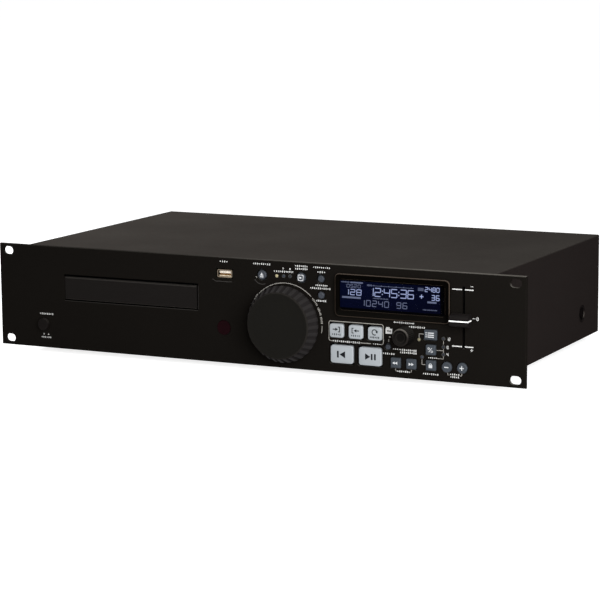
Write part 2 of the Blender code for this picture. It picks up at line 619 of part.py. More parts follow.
class Build:
    """The collections, the empty that carries the panel's frame, and the materials."""

    def __init__(self):
        self.parts = make_collection("rack_media_player")
        self.tools = make_collection("cutters")
        self.frame = bpy.data.objects.new("panel_frame", None)
        self.parts.objects.link(self.frame)
        self.frame.location = (0.0, FRONT_Y, PANEL_LIFT)
        self.paints = {
            "black_panel": make_material("black_panel", (0.010, 0.009, 0.008), 0.45, 0.3),
            "case_paint": make_material("case_paint", (0.045, 0.040, 0.036), 0.55, 0.3),
            "zinc_steel": make_material("zinc_steel", (0.45, 0.46, 0.46), 0.4, 1.0),
            "rubber": make_material("rubber", (0.02, 0.02, 0.02), 0.8),
            "black_plastic": make_material("black_plastic", (0.015, 0.014, 0.013), 0.45),
            "soft_black": make_material("soft_black", (0.022, 0.021, 0.020), 0.6),
            "pale_key": make_material("pale_key", (0.58, 0.62, 0.65), 0.45),
            "slate_key": make_material("slate_key", (0.065, 0.080, 0.100), 0.45),
            "clear_window": make_material("clear_window", (0.01, 0.01, 0.02), 0.08),
            "red_window": make_material("red_window", (0.02, 0.001, 0.001), 0.1),
            "light_pipe": make_material("light_pipe", (0.6, 0.58, 0.45), 0.3),
            "board": make_material("board", (0.02, 0.12, 0.05), 0.5),
            "copper_winding": make_material("copper_winding", (0.35, 0.12, 0.04), 0.4),
            "grey_plastic": make_material("grey_plastic", (0.18, 0.18, 0.18), 0.5),
            "white_gear": make_material("white_gear", (0.7, 0.68, 0.62), 0.5),
            "nickel": make_material("nickel", (0.6, 0.57, 0.5), 0.25, 1.0),
        }

    def solid(self, name, shape, paint_name):
        item = finish_mesh(name, shape, self.parts)
        place(item, self.frame)
        return paint(item, self.paints[paint_name])

    def tool(self, name, shape, item, operation):
        helper = finish_mesh(name, shape, self.tools)
        combine(item, helper, operation)

    def front_turned(self, name, profile, spot, facets, paint_name, depth=0.0):
        """Turned piece that faces out of the panel, with its axis at a spot on it."""
        item = turned(name, profile, self.parts, facets)
        place(item, self.frame, (spot[0], depth, spot[1]), FACING)
        return paint(item, self.paints[paint_name])


def key_spot(name):
    """Place of a key's axis on the panel."""
    return POWER_KEY_SPOT if name == "power_button" else panel_point(KEY_PLACE_SHARES[name])


def board_boss_spots():
    """Places of the bosses that carry the control board: two at each end and two between."""
    left = CONTROL_BOARD_LEFT + BOSS_FROM_BOARD_END
    right = CONTROL_BOARD_RIGHT - BOSS_FROM_BOARD_END
    spots = [(left, share * PANEL_HEIGHT) for share in LEFT_BOSS_HEIGHT_SHARES]
    spots += [(right, share * PANEL_HEIGHT) for share in RIGHT_BOSS_HEIGHT_SHARES]
    return spots + [panel_point(shares) for shares in MIDDLE_BOSS_PLACE_SHARES]


def key_hole_size(name):
    """Width and height of the panel's hole round a key."""
    if name in SQUARE_KEYS:
        width, height = SQUARE_KEYS[name][0]
    else:
        width = height = POWER_KEY if name == "power_button" else ROUND_KEYS[name][0]
    return width + 2 * KEY_CLEARANCE, height + 2 * KEY_CLEARANCE


def through_panel_y():
    """Middle and length of a cutter that goes right through the panel."""
    return PANEL_THICKNESS / 2, PANEL_THICKNESS + 2 * OVERRUN


def add_panel_holes(shape):
    middle, length = through_panel_y()
    for side in (-1, 1):
        for level in (-1, 1):
            spot = (side * RACK_SLOT_PITCH_X / 2, middle, PANEL_HEIGHT / 2 + level * RACK_SLOT_PITCH_Z / 2)
            add_block(shape, (RACK_SLOT_LENGTH, length, RACK_SLOT_HEIGHT), spot, 1,
                      SLOT_ROUND_SHARE * RACK_SLOT_HEIGHT / 2, 4)
    add_block(shape, (TRAY_OPENING_WIDTH, length, TRAY_OPENING_HEIGHT),
              (TRAY_CENTRE_X, middle, TRAY_OPENING_BOTTOM + TRAY_OPENING_HEIGHT / 2))
    x, z = panel_point(USB_PLACE_SHARES)
    add_block(shape, (USB_WIDTH + 4 * GAP, length, USB_HEIGHT + 4 * GAP), (x, middle, z))
    x, z = WINDOW_SPOT
    add_block(shape, (WINDOW_WIDTH + 2 * (WINDOW_LIP + GAP), length, WINDOW_HEIGHT + 2 * (WINDOW_LIP + GAP)),
              (x, middle, z))
    x, z = panel_point(INFRARED_PLACE_SHARES)
    add_disc(shape, INFRARED_RADIUS + GAP, length, (x, middle, z), facets=PLAIN_FACETS)
    x, z = panel_point(JOG_PLACE_SHARES)
    add_disc(shape, JOG_HUB_RADIUS + KEY_CLEARANCE, length, (x, middle, z), facets=PLAIN_FACETS)
    x, z = panel_point(TRACK_PLACE_SHARES)
    add_disc(shape, TRACK_BUSH_RADIUS + GAP, length, (x, middle, z))
    x, z = FADER_SPOT
    add_block(shape, (FADER_SLOT_WIDTH, length, FADER_SLOT_LENGTH), (x, middle, z))
    for places in LIGHT_PLACE_SHARES.values():
        for shares in places:
            x, z = panel_point(shares)
            add_disc(shape, LIGHT_RADIUS + GAP, length, (x, middle, z), facets=TINY_FACETS)
    for name in list(ROUND_KEYS) + list(SQUARE_KEYS) + ["power_button"]:
        x, z = key_spot(name)
        width, height = key_hole_size(name)
        if name in SQUARE_KEYS:
            corner = SQUARE_KEYS[name][1]
            add_block(shape, (width, length, height), (x, middle, z), 1, corner, 2)
        else:
            add_disc(shape, width / 2, length, (x, middle, z), facets=SMALL_FACETS)


def make_front_panel(build):
    shape = bmesh.new()
    add_block(shape, (PANEL_WIDTH, PANEL_THICKNESS, PANEL_HEIGHT),
              (0.0, PANEL_THICKNESS / 2, PANEL_HEIGHT / 2))
    front = [edge for edge in shape.edges if all(vert.co.y < PANEL_THICKNESS / 2 for vert in edge.verts)]
    bmesh.ops.bevel(shape, geom=front, offset=PANEL_EDGE_ROUND, offset_type="OFFSET", segments=2,
                    profile=0.5, affect="EDGES", material=-1)
    panel = build.solid("front_panel", shape, "black_panel")
    seat = bmesh.new()
    add_block(seat, (CASE_WIDTH + 2 * SEAT_MARGIN, SEAT_DEPTH + OVERRUN, PANEL_HEIGHT + 2 * OVERRUN),
              (0.0, BEHIND_PANEL + (SEAT_DEPTH + OVERRUN) / 2, PANEL_HEIGHT / 2))
    build.tool("panel_seat_cutter", seat, panel, "DIFFERENCE")
    bosses = bmesh.new()
    boss_end = CONTROL_BOARD_FRONT - GAP
    boss_start = BEHIND_PANEL - SINK
    for x, z in board_boss_spots():
        add_disc(bosses, BOSS_RADIUS, boss_end - boss_start, (x, (boss_end + boss_start) / 2, z),
                 facets=TINY_FACETS)
    build.tool("panel_bosses", bosses, panel, "UNION")
    holes = bmesh.new()
    add_panel_holes(holes)
    build.tool("panel_hole_cutter", holes, panel, "DIFFERENCE")


def screw_spots():
    """Name, side and place along the case of each cover screw."""
    rows = (("front", CASE_FRONT + COVER_SCREW_FROM_FRONT), ("rear", CASE_REAR - COVER_SCREW_FROM_REAR))
    for side_name, side in (("left", -1), ("right", 1)):
        for row_name, y in rows:
            yield f"{side_name}_{row_name}_cover_screw", side, y, CASE_LIFT + COVER_SCREW_RISE


def make_top_cover(build):
    shape = bmesh.new()
    height = CASE_TOP - CASE_LIFT
    add_block(shape, (CASE_WIDTH, CASE_DEPTH, height),
              (0.0, CASE_FRONT + CASE_DEPTH / 2, CASE_LIFT + height / 2))
    upper = [edge for edge in shape.edges
             if all(vert.co.z > CASE_LIFT + height / 2 for vert in edge.verts)
             and abs(edge.verts[0].co.y - edge.verts[1].co.y) > SHEET]
    bmesh.ops.bevel(shape, geom=upper, offset=CASE_EDGE_ROUND, offset_type="OFFSET", segments=2,
                    profile=0.5, affect="EDGES", material=-1)
    cover = build.solid("top_cover", shape, "case_paint")
    inside = bmesh.new()
    inner_height = height - SHEET + OVERRUN
    add_block(inside, (CASE_WIDTH - 2 * SHEET, CASE_DEPTH + 2 * OVERRUN, inner_height),
              (0.0, CASE_FRONT + CASE_DEPTH / 2, CASE_TOP - SHEET - inner_height / 2))
    build.tool("cover_inside_cutter", inside, cover, "DIFFERENCE")
    dimples = bmesh.new()
    holes = bmesh.new()
    for _, side, y, z in screw_spots():
        face = side * CASE_WIDTH / 2
        wide = DIMPLE_RADIUS + OVERRUN
        narrow = COVER_SCREW_HEAD_RADIUS + GAP
        radii = (narrow, wide) if side > 0 else (wide, narrow)
        add_disc(dimples, radii[0], DIMPLE_DEPTH + OVERRUN,
                 (face - side * (DIMPLE_DEPTH - OVERRUN) / 2, y, z), "X", SMALL_FACETS, radii[1])
        add_disc(holes, COVER_SCREW_SHANK_RADIUS + GAP, 2 * SHEET + OVERRUN, (face, y, z), "X", TINY_FACETS)
    build.tool("cover_dimple_cutter", dimples, cover, "DIFFERENCE")
    build.tool("cover_screw_hole_cutter", holes, cover, "DIFFERENCE")


def standoff_spots():
    """Base standoffs: place and top of each, for the main board and the disc drive."""
    board_y = MAIN_BOARD_FRONT + MAIN_BOARD_DEPTH / 2
    reach_x = MAIN_BOARD_WIDTH / 2 - MAIN_BOARD_STANDOFF_INSET
    reach_y = MAIN_BOARD_DEPTH / 2 - MAIN_BOARD_STANDOFF_INSET
    drive_y = FRAME_FRONT + FRAME_LENGTH / 2
    drive_x = FRAME_OUTER_WIDTH / 2 - STANDOFF_RADIUS - FRAME_WALL
    drive_reach = FRAME_LENGTH / 2 - 2 * STANDOFF_RADIUS
    for side in (-1, 1):
        for end in (-1, 1):
            yield MAIN_BOARD_CENTRE_X + side * reach_x, board_y + end * reach_y, MAIN_BOARD_BOTTOM - GAP
            yield TRAY_CENTRE_X + side * drive_x, drive_y + end * drive_reach, FRAME_BOTTOM - GAP


def make_base(build):
    shape = bmesh.new()
    length = REAR_PANEL_BACK - CASE_FRONT
    add_block(shape, (BASE_WIDTH, length, BASE_FLANGE),
              (0.0, CASE_FRONT + length / 2, CASE_LIFT + BASE_FLANGE / 2))
    base = build.solid("base_chassis", shape, "zinc_steel")
    inside = bmesh.new()
    add_block(inside, (BASE_WIDTH - 2 * SHEET, length + 2 * OVERRUN, BASE_FLANGE),
              (0.0, CASE_FRONT + length / 2, FLOOR_TOP + BASE_FLANGE / 2))
    build.tool("base_inside_cutter", inside, base, "DIFFERENCE")
    posts = bmesh.new()
    for x, y, top in standoff_spots():
        bottom = FLOOR_TOP - SINK
        add_disc(posts, STANDOFF_RADIUS, top - bottom, (x, y, (top + bottom) / 2), "Z", TINY_FACETS)
    build.tool("base_standoffs", posts, base, "UNION")
    holes = bmesh.new()
    for _, side, y, z in screw_spots():
        add_disc(holes, COVER_SCREW_SHANK_RADIUS + GAP, 2 * SHEET + OVERRUN,
                 (side * BASE_WIDTH / 2, y, z), "X", TINY_FACETS)
    build.tool("base_screw_hole_cutter", holes, base, "DIFFERENCE")


def make_cover_screws(build):
    head_seat = DIMPLE_DEPTH - GAP
    for name, side, y, z in screw_spots():
        rim = COVER_SCREW_HEAD_HEIGHT / 3
        profile = [
            (0.0, COVER_SCREW_HEAD_HEIGHT),
            (COVER_SCREW_HEAD_RADIUS * SCREW_CROWN_RADIUS_SHARE,
             COVER_SCREW_HEAD_HEIGHT * SCREW_CROWN_HEIGHT_SHARE),
            (COVER_SCREW_HEAD_RADIUS, rim), (COVER_SCREW_HEAD_RADIUS, 0.0),
            (COVER_SCREW_SHANK_RADIUS, 0.0), (COVER_SCREW_SHANK_RADIUS, -COVER_SCREW_LENGTH),
            (0.0, -COVER_SCREW_LENGTH)]
        screw = turned(name, profile, build.parts, TINY_FACETS)
        place(screw, build.frame, (side * (CASE_WIDTH / 2 - head_seat), y, z), (0.0, side * math.pi / 2, 0.0))
        paint(screw, build.paints["nickel"])


def make_feet(build):
    rows = (("front", CASE_FRONT + FOOT_INSET_Y), ("rear", CASE_REAR - FOOT_INSET_Y))
    profile = [(0.0, 0.0), (FOOT_RADIUS, 0.0), (FOOT_RADIUS, -FOOT_HEIGHT / 3),
               (FOOT_RADIUS - FOOT_TAPER, -FOOT_HEIGHT), (0.0, -FOOT_HEIGHT)]
    for side_name, side in (("left", -1), ("right", 1)):
        for row_name, y in rows:
            foot = turned(f"{row_name}_{side_name}_foot", profile, build.parts, SMALL_FACETS)
            place(foot, build.frame, (side * (CASE_WIDTH / 2 - FOOT_INSET_X), y, CASE_LIFT - GAP))
            paint(foot, build.paints["rubber"])


def make_rear_panel(build):
    shape = bmesh.new()
    width = BASE_WIDTH - 2 * (SHEET + GAP)
    bottom = FLOOR_TOP + GAP
    top = CASE_TOP - SHEET - GAP
    middle = (REAR_PANEL_FRONT + REAR_PANEL_BACK) / 2
    add_block(shape, (width, SHEET, top - bottom), (0.0, middle, (top + bottom) / 2))
    rear = build.solid("rear_panel", shape, "case_paint")
    holes = bmesh.new()
    length = SHEET + 2 * OVERRUN
    add_block(holes, (INLET_BODY_WIDTH + 2 * GAP, length, INLET_BODY_HEIGHT + 2 * GAP),
              (INLET_CENTRE_X, middle, CASE_LIFT + INLET_CENTRE_RISE))
    for x in audio_places():
        add_disc(holes, AUDIO_BARREL_RADIUS + GAP, length, (x, middle, CASE_LIFT + AUDIO_CENTRE_RISE))
    build.tool("rear_panel_cutter", holes, rear, "DIFFERENCE")


def audio_places():
    return [AUDIO_CENTRE_X + (i - (AUDIO_COUNT - 1) / 2) * AUDIO_PITCH for i in range(AUDIO_COUNT)]


def make_rear_connectors(build):
    z = CASE_LIFT + INLET_CENTRE_RISE
    shape = bmesh.new()
    add_block(shape, (INLET_FLANGE_WIDTH, INLET_FLANGE_THICKNESS, INLET_FLANGE_HEIGHT),
              (INLET_CENTRE_X, REAR_PANEL_BACK + GAP + INLET_FLANGE_THICKNESS / 2, z), 1,
              INLET_CAVITY_CORNER, 2)
    inlet = build.solid("mains_inlet", shape, "black_plastic")
    body = bmesh.new()
    back = REAR_PANEL_BACK + GAP + SINK
    add_block(body, (INLET_BODY_WIDTH, INLET_BODY_DEPTH, INLET_BODY_HEIGHT),
              (INLET_CENTRE_X, back - INLET_BODY_DEPTH / 2, z))
    build.tool("inlet_body", body, inlet, "UNION")
    mouth = REAR_PANEL_BACK + GAP + INLET_FLANGE_THICKNESS
    cavity = bmesh.new()
    add_block(cavity, (INLET_CAVITY_WIDTH, INLET_CAVITY_DEPTH + OVERRUN, INLET_CAVITY_HEIGHT),
              (INLET_CENTRE_X, mouth - (INLET_CAVITY_DEPTH - OVERRUN) / 2, z), 1, INLET_CAVITY_CORNER, 2)
    build.tool("inlet_cavity_cutter", cavity, inlet, "DIFFERENCE")
    pins = bmesh.new()
    root = mouth - INLET_CAVITY_DEPTH - SINK
    for step, level in ((-1, -1), (0, 1), (1, -1)):
        add_block(pins, (INLET_PIN_WIDTH, INLET_PIN_LENGTH, INLET_PIN_HEIGHT),
                  (INLET_CENTRE_X + step * INLET_PIN_SPACING, root + INLET_PIN_LENGTH / 2,
                   z + level * INLET_PIN_HEIGHT / 2))
    build.tool("inlet_pins", pins, inlet, "UNION")

    z = CASE_LIFT + AUDIO_CENTRE_RISE
    shape = bmesh.new()
    block_back = REAR_PANEL_FRONT - GAP
    add_block(shape, (AUDIO_COUNT * AUDIO_PITCH, AUDIO_BLOCK_DEPTH, AUDIO_BLOCK_HEIGHT),
              (AUDIO_CENTRE_X, block_back - AUDIO_BLOCK_DEPTH / 2, z))
    sockets = build.solid("audio_output_sockets", shape, "nickel")
    barrels = bmesh.new()
    bores = bmesh.new()
    start = block_back - SINK
    end = REAR_PANEL_BACK + AUDIO_BARREL_REACH
    for x in audio_places():
        add_disc(barrels, AUDIO_BARREL_RADIUS, end - start, (x, (start + end) / 2, z))
        add_disc(bores, AUDIO_BORE_RADIUS, AUDIO_BORE_DEPTH + OVERRUN,
                 (x, end - (AUDIO_BORE_DEPTH - OVERRUN) / 2, z), facets=TINY_FACETS)
    build.tool("audio_barrels", barrels, sockets, "UNION")
    build.tool("audio_bore_cutter", bores, sockets, "DIFFERENCE")


def rack_outline():
    """Straight rack along Y: its back at +X, trapezoid teeth towards -X."""
    pitch = math.pi * GEAR_MODULE
    start = TRAY_FRONT + GEAR_MODULE
    end = TRAY_FRONT + TRAY_LENGTH - GEAR_MODULE
    first = math.ceil((start + pitch / 2 - PINION_CENTRE_Y) / pitch)
    last = math.floor((end - pitch / 2 - PINION_CENTRE_Y) / pitch)
    tip = -TOOTH_ADDENDUM_SHARE * GEAR_MODULE
    root = TOOTH_DEDENDUM_SHARE * GEAR_MODULE
    half_tip = RACK_TIP_SHARE * pitch - TOOTH_PLAY / 2
    half_root = half_tip + (root - tip) * math.tan(PRESSURE_ANGLE)
    teeth = []
    for index in range(first, last + 1):
        y = PINION_CENTRE_Y + index * pitch
        teeth += [(root, y - half_root), (tip, y - half_tip), (tip, y + half_tip), (root, y + half_root)]
    return [(root + RACK_BACK_WIDTH, start), (root, start)] + teeth + [(root, end),
            (root + RACK_BACK_WIDTH, end)]


def pinion_outline():
    """Gear with a tooth space on +X at rest, so that it takes the rack's tooth."""
    points = []
    pitch_angle = 2 * math.pi / PINION_TEETH
    root = PINION_PITCH_RADIUS - TOOTH_DEDENDUM_SHARE * GEAR_MODULE
    tip = PINION_PITCH_RADIUS + TOOTH_ADDENDUM_SHARE * GEAR_MODULE
    half_thick = math.pi * GEAR_MODULE / 4 - TOOTH_PLAY / 2
    half_root = (half_thick + ROOT_FLARE_SHARE * GEAR_MODULE) / root
    half_pitch = half_thick / PINION_PITCH_RADIUS
    half_tip = (half_thick - TIP_RELIEF_SHARE * GEAR_MODULE) / tip
    for index in range(PINION_TEETH):
        angle = (index + 0.5) * pitch_angle
        for radius, offset in ((root, -half_root), (PINION_PITCH_RADIUS, -half_pitch), (tip, -half_tip),
                               (tip, half_tip), (PINION_PITCH_RADIUS, half_pitch), (root, half_root)):
            points.append((radius * math.cos(angle + offset), radius * math.sin(angle + offset)))
    return points


def circle_outline(radius, facets):
    return [(radius * math.cos(2 * math.pi * i / facets), radius * math.sin(2 * math.pi * i / facets))
            for i in range(facets)]


def make_tray(build):
    door_shape = bmesh.new()
    width = TRAY_OPENING_WIDTH - 2 * DOOR_GAP
    height = TRAY_OPENING_HEIGHT - 2 * DOOR_GAP
    add_block(door_shape, (width, DOOR_THICKNESS, height),
              (TRAY_CENTRE_X, DOOR_RECESS + DOOR_THICKNESS / 2,
               TRAY_OPENING_BOTTOM + TRAY_OPENING_HEIGHT / 2))
    front = [edge for edge in door_shape.edges
             if all(vert.co.y < DOOR_RECESS + DOOR_THICKNESS / 2 for vert in edge.verts)]
    bmesh.ops.bevel(door_shape, geom=front, offset=DOOR_BEVEL, offset_type="OFFSET", segments=2,
                    profile=0.5, affect="EDGES", material=-1)
    build.solid("tray_door", door_shape, "black_plastic")

    shape = bmesh.new()
    add_block(shape, (TRAY_WIDTH, TRAY_LENGTH, TRAY_HEIGHT),
              (TRAY_CENTRE_X, TRAY_FRONT + TRAY_LENGTH / 2, TRAY_BOTTOM + TRAY_HEIGHT / 2), 2, TRAY_CORNER, 2)
    tray = build.solid("disc_tray", shape, "black_plastic")
    wells = ((DISC_WELL_RADIUS, DISC_WELL_DEPTH, FINE_FACETS),
             (SMALL_DISC_WELL_RADIUS, SMALL_DISC_WELL_DEPTH, FINE_FACETS))
    for number, (radius, depth, facets) in enumerate(wells, start=1):
        well = bmesh.new()
        add_disc(well, radius, depth + OVERRUN,
                 (TRAY_CENTRE_X, DISC_CENTRE_Y, TRAY_TOP - (depth - OVERRUN) / 2), "Z", facets)
        build.tool(f"disc_well_cutter_{number}", well, tray, "DIFFERENCE")
    slot = bmesh.new()
    start = DISC_CENTRE_Y - TRAY_SLOT_FRONT
    end = TRAY_FRONT + TRAY_LENGTH + 2 * TRAY_SLOT_CORNER
    add_block(slot, (TRAY_SLOT_WIDTH, end - start, TRAY_HEIGHT + 2 * OVERRUN),
              (TRAY_CENTRE_X, (start + end) / 2, TRAY_BOTTOM + TRAY_HEIGHT / 2), 2, TRAY_SLOT_CORNER, 4)
    build.tool("tray_slot_cutter", slot, tray, "DIFFERENCE")
    rack = flat_shape("tray_rack", [rack_outline()], GEAR_THICKNESS + GAP + SINK, build.tools)
    rack = curve_as_mesh(rack, build.tools)
    bottom = GEAR_BOTTOM
    rack.data.transform(Matrix.Translation(
        (TRAY_CENTRE_X + RACK_OFFSET_X, 0.0, bottom + (GEAR_THICKNESS + GAP + SINK) / 2)))
    combine(tray, rack, "UNION")

    pinion = flat_shape("tray_pinion", [pinion_outline(), circle_outline(PINION_BORE_RADIUS, SMALL_FACETS)],
                        GEAR_THICKNESS, build.parts)
    place(pinion, build.frame, (PINION_CENTRE_X, PINION_CENTRE_Y, (GEAR_TOP + GEAR_BOTTOM) / 2))
    paint(pinion, build.paints["white_gear"])


def make_drive_frame(build):
    shape = bmesh.new()
    add_block(shape, (FRAME_OUTER_WIDTH, FRAME_LENGTH, FRAME_HEIGHT),
              (TRAY_CENTRE_X, FRAME_FRONT + FRAME_LENGTH / 2, FRAME_BOTTOM + FRAME_HEIGHT / 2))
    frame = build.solid("drive_frame", shape, "grey_plastic")
    inside = bmesh.new()
    add_block(inside, (FRAME_INNER_WIDTH, FRAME_LENGTH, FRAME_HEIGHT),
              (TRAY_CENTRE_X, FRAME_FRONT + FRAME_LENGTH / 2 - FRAME_WALL,
               FRAME_DECK_TOP + FRAME_HEIGHT / 2))
    build.tool("frame_inside_cutter", inside, frame, "DIFFERENCE")
    added = bmesh.new()
    wall_x = FRAME_INNER_WIDTH / 2 + SINK
    guide_length = FRAME_LENGTH - FRAME_WALL - OVERRUN
    for side in (-1, 1):
        x = TRAY_CENTRE_X + side * (wall_x - GUIDE_WIDTH / 2)
        add_block(added, (GUIDE_WIDTH, guide_length, GUIDE_HEIGHT),
                  (x, FRAME_FRONT + OVERRUN / 2 + guide_length / 2, TRAY_BOTTOM - GAP - GUIDE_HEIGHT / 2))
        hold_height = FRAME_TOP - TRAY_TOP - GAP - SINK
        add_block(added, (GUIDE_WIDTH, HOLD_DOWN_LENGTH, hold_height),
                  (x, FRAME_FRONT + OVERRUN + HOLD_DOWN_LENGTH / 2, TRAY_TOP + GAP + hold_height / 2))
    for y in (SLED_ROD_FRONT, SLED_ROD_REAR):
        block_top = SLED_BOTTOM + SLED_HEIGHT
        block_bottom = FRAME_DECK_TOP - SINK
        add_block(added, (SLED_WIDTH, SLED_ROD_BLOCK, block_top - block_bottom),
                  (TRAY_CENTRE_X, y, (block_top + block_bottom) / 2))
    post_bottom = FRAME_DECK_TOP - SINK
    post_top = GEAR_BOTTOM - GAP
    add_disc(added, 2 * PINION_BORE_RADIUS, post_top - post_bottom,
             (PINION_CENTRE_X, PINION_CENTRE_Y, (post_top + post_bottom) / 2), "Z")
    build.tool("frame_guides", added, frame, "UNION")
    rods = bmesh.new()
    for side in (-1, 1):
        add_disc(rods, SLED_ROD_RADIUS, SLED_ROD_REAR - SLED_ROD_FRONT,
                 (TRAY_CENTRE_X + side * SLED_ROD_SPACING / 2, (SLED_ROD_REAR + SLED_ROD_FRONT) / 2,
                  SLED_ROD_Z), facets=TINY_FACETS)
    pin_top = GEAR_TOP - GAP
    pin_bottom = post_top - SINK
    add_disc(rods, PINION_BORE_RADIUS - GAP, pin_top - pin_bottom,
             (PINION_CENTRE_X, PINION_CENTRE_Y, (pin_top + pin_bottom) / 2), "Z", TINY_FACETS)
    build.tool("frame_rods", rods, frame, "UNION")


def make_clamp(build):
    shape = bmesh.new()
    add_block(shape, (FRAME_OUTER_WIDTH, BRIDGE_WIDTH, BRIDGE_THICKNESS),
              (TRAY_CENTRE_X, DISC_CENTRE_Y, (BRIDGE_TOP + BRIDGE_BOTTOM) / 2))
    bridge = build.solid("clamp_bridge", shape, "zinc_steel")
    hole = bmesh.new()
    add_disc(hole, PUCK_NECK_RADIUS + GAP, BRIDGE_THICKNESS + 2 * OVERRUN,
             (TRAY_CENTRE_X, DISC_CENTRE_Y, (BRIDGE_TOP + BRIDGE_BOTTOM) / 2), "Z", PLAIN_FACETS)
    build.tool("bridge_hole_cutter", hole, bridge, "DIFFERENCE")
    seat = BRIDGE_TOP + GAP
    profile = [(0.0, PUCK_FLANGE_HEIGHT), (PUCK_FLANGE_RADIUS, PUCK_FLANGE_HEIGHT), (PUCK_FLANGE_RADIUS, 0.0),
               (PUCK_NECK_RADIUS, 0.0), (PUCK_NECK_RADIUS, -PUCK_DROP), (PUCK_CUP_RADIUS, -PUCK_DROP),
               (PUCK_CUP_RADIUS - PUCK_CUP_DEPTH, PUCK_CUP_DEPTH - PUCK_DROP),
               (0.0, PUCK_CUP_DEPTH - PUCK_DROP)]
    puck = turned("clamp_puck", profile, build.parts, PLAIN_FACETS)
    place(puck, build.frame, (TRAY_CENTRE_X, DISC_CENTRE_Y, seat))
    paint(puck, build.paints["black_plastic"])


def make_spindle(build):
    spot = (TRAY_CENTRE_X, DISC_CENTRE_Y)
    top = SPINDLE_MOTOR_HEIGHT
    profile = [(0.0, top + SPINDLE_SHAFT_HEIGHT), (SPINDLE_SHAFT_RADIUS, top + SPINDLE_SHAFT_HEIGHT),
               (SPINDLE_SHAFT_RADIUS, top), (SPINDLE_MOTOR_RADIUS, top), (SPINDLE_MOTOR_RADIUS, 0.0),
               (0.0, 0.0)]
    motor = turned("spindle_motor", profile, build.parts, PLAIN_FACETS)
    place(motor, build.frame, (*spot, SPINDLE_MOTOR_BOTTOM))
    paint(motor, build.paints["zinc_steel"])
    hub_bottom = SPINDLE_MOTOR_TOP + GAP - TURNTABLE_TOP
    bore_top = SPINDLE_MOTOR_TOP + SPINDLE_SHAFT_HEIGHT + GAP - TURNTABLE_TOP
    profile = [(0.0, TURNTABLE_CONE_HEIGHT), (TURNTABLE_CONE_TOP_RADIUS, TURNTABLE_CONE_HEIGHT),
               (TURNTABLE_CONE_RADIUS, 0.0), (TURNTABLE_RADIUS, 0.0),
               (TURNTABLE_RADIUS, -TURNTABLE_THICKNESS),
               (TURNTABLE_HUB_RADIUS, -TURNTABLE_THICKNESS), (TURNTABLE_HUB_RADIUS, hub_bottom),
               (SPINDLE_SHAFT_RADIUS + GAP, hub_bottom), (SPINDLE_SHAFT_RADIUS + GAP, bore_top),
               (0.0, bore_top)]
    table = turned("turntable", profile, build.parts, PLAIN_FACETS)
    place(table, build.frame, (*spot, TURNTABLE_TOP))
    paint(table, build.paints["black_plastic"])


def make_laser_sled(build):
    shape = bmesh.new()
    middle = (TRAY_CENTRE_X, SLED_FRONT + SLED_LENGTH / 2, SLED_ROD_Z)
    add_block(shape, (SLED_WIDTH, SLED_LENGTH, SLED_HEIGHT), middle)
    sled = build.solid("laser_sled", shape, "nickel")
    lens = bmesh.new()
    sled_top = SLED_BOTTOM + SLED_HEIGHT
    add_disc(lens, LENS_RADIUS, LENS_HEIGHT + SINK,
             (TRAY_CENTRE_X, SLED_FRONT + LENS_FROM_FRONT, sled_top + (LENS_HEIGHT - SINK) / 2), "Z")
    build.tool("sled_lens", lens, sled, "UNION")
    bores = bmesh.new()
    for side in (-1, 1):
        add_disc(bores, SLED_ROD_RADIUS + GAP, SLED_LENGTH + 2 * OVERRUN,
                 (TRAY_CENTRE_X + side * SLED_ROD_SPACING / 2, middle[1], SLED_ROD_Z), facets=TINY_FACETS)
    build.tool("sled_bore_cutter", bores, sled, "DIFFERENCE")


def make_tray_motor(build):
    shaft_top = TRAY_MOTOR_SHAFT_LENGTH
    profile = [(0.0, 0.0), (TRAY_MOTOR_RADIUS, 0.0), (TRAY_MOTOR_RADIUS, -TRAY_MOTOR_HEIGHT),
               (TRAY_MOTOR_SHAFT_RADIUS, -TRAY_MOTOR_HEIGHT),
               (TRAY_MOTOR_SHAFT_RADIUS, -TRAY_MOTOR_HEIGHT - shaft_top),
               (0.0, -TRAY_MOTOR_HEIGHT - shaft_top)]
    motor = turned("tray_motor", profile, build.parts, PLAIN_FACETS)
    place(motor, build.frame, (PINION_CENTRE_X, PINION_CENTRE_Y + TRAY_MOTOR_RADIUS, FRAME_BOTTOM - GAP))
    paint(motor, build.paints["zinc_steel"])


def make_display(build):
    window_x, window_z = WINDOW_SPOT
    shape = bmesh.new()
    centre = ((BEZEL_LEFT + BEZEL_RIGHT) / 2, -GAP - BEZEL_PROUD / 2, DISPLAY_HEIGHT_SHARE * PANEL_HEIGHT)
    add_block(shape, (BEZEL_RIGHT - BEZEL_LEFT, BEZEL_PROUD, BEZEL_HEIGHT), centre, 1, BEZEL_CORNER, 3)
    front = [edge for edge in shape.edges if all(vert.co.y < -GAP - BEZEL_PROUD / 2 for vert in edge.verts)]
    bmesh.ops.bevel(shape, geom=front, offset=BEZEL_EDGE, offset_type="OFFSET", segments=2,
                    profile=0.5, affect="EDGES", material=-1)
    bezel = build.solid("display_bezel", shape, "black_plastic")
    hole = bmesh.new()
    add_block(hole, (WINDOW_WIDTH, BEZEL_PROUD + 2 * OVERRUN, WINDOW_HEIGHT),
              (window_x, -GAP - BEZEL_PROUD / 2, window_z))
    build.tool("bezel_window_cutter", hole, bezel, "DIFFERENCE")
    pane = bmesh.new()
    add_block(pane, (WINDOW_WIDTH + 2 * WINDOW_LIP, WINDOW_THICKNESS, WINDOW_HEIGHT + 2 * WINDOW_LIP),
              (window_x, WINDOW_THICKNESS / 2, window_z))
    build.solid("display_window", pane, "clear_window")
    module = bmesh.new()
    add_block(module, (WINDOW_WIDTH + 2 * MODULE_MARGIN, MODULE_DEPTH, MODULE_HEIGHT),
              (window_x, BEHIND_PANEL + GAP + MODULE_DEPTH / 2, window_z))
    build.solid("display_module", module, "board")


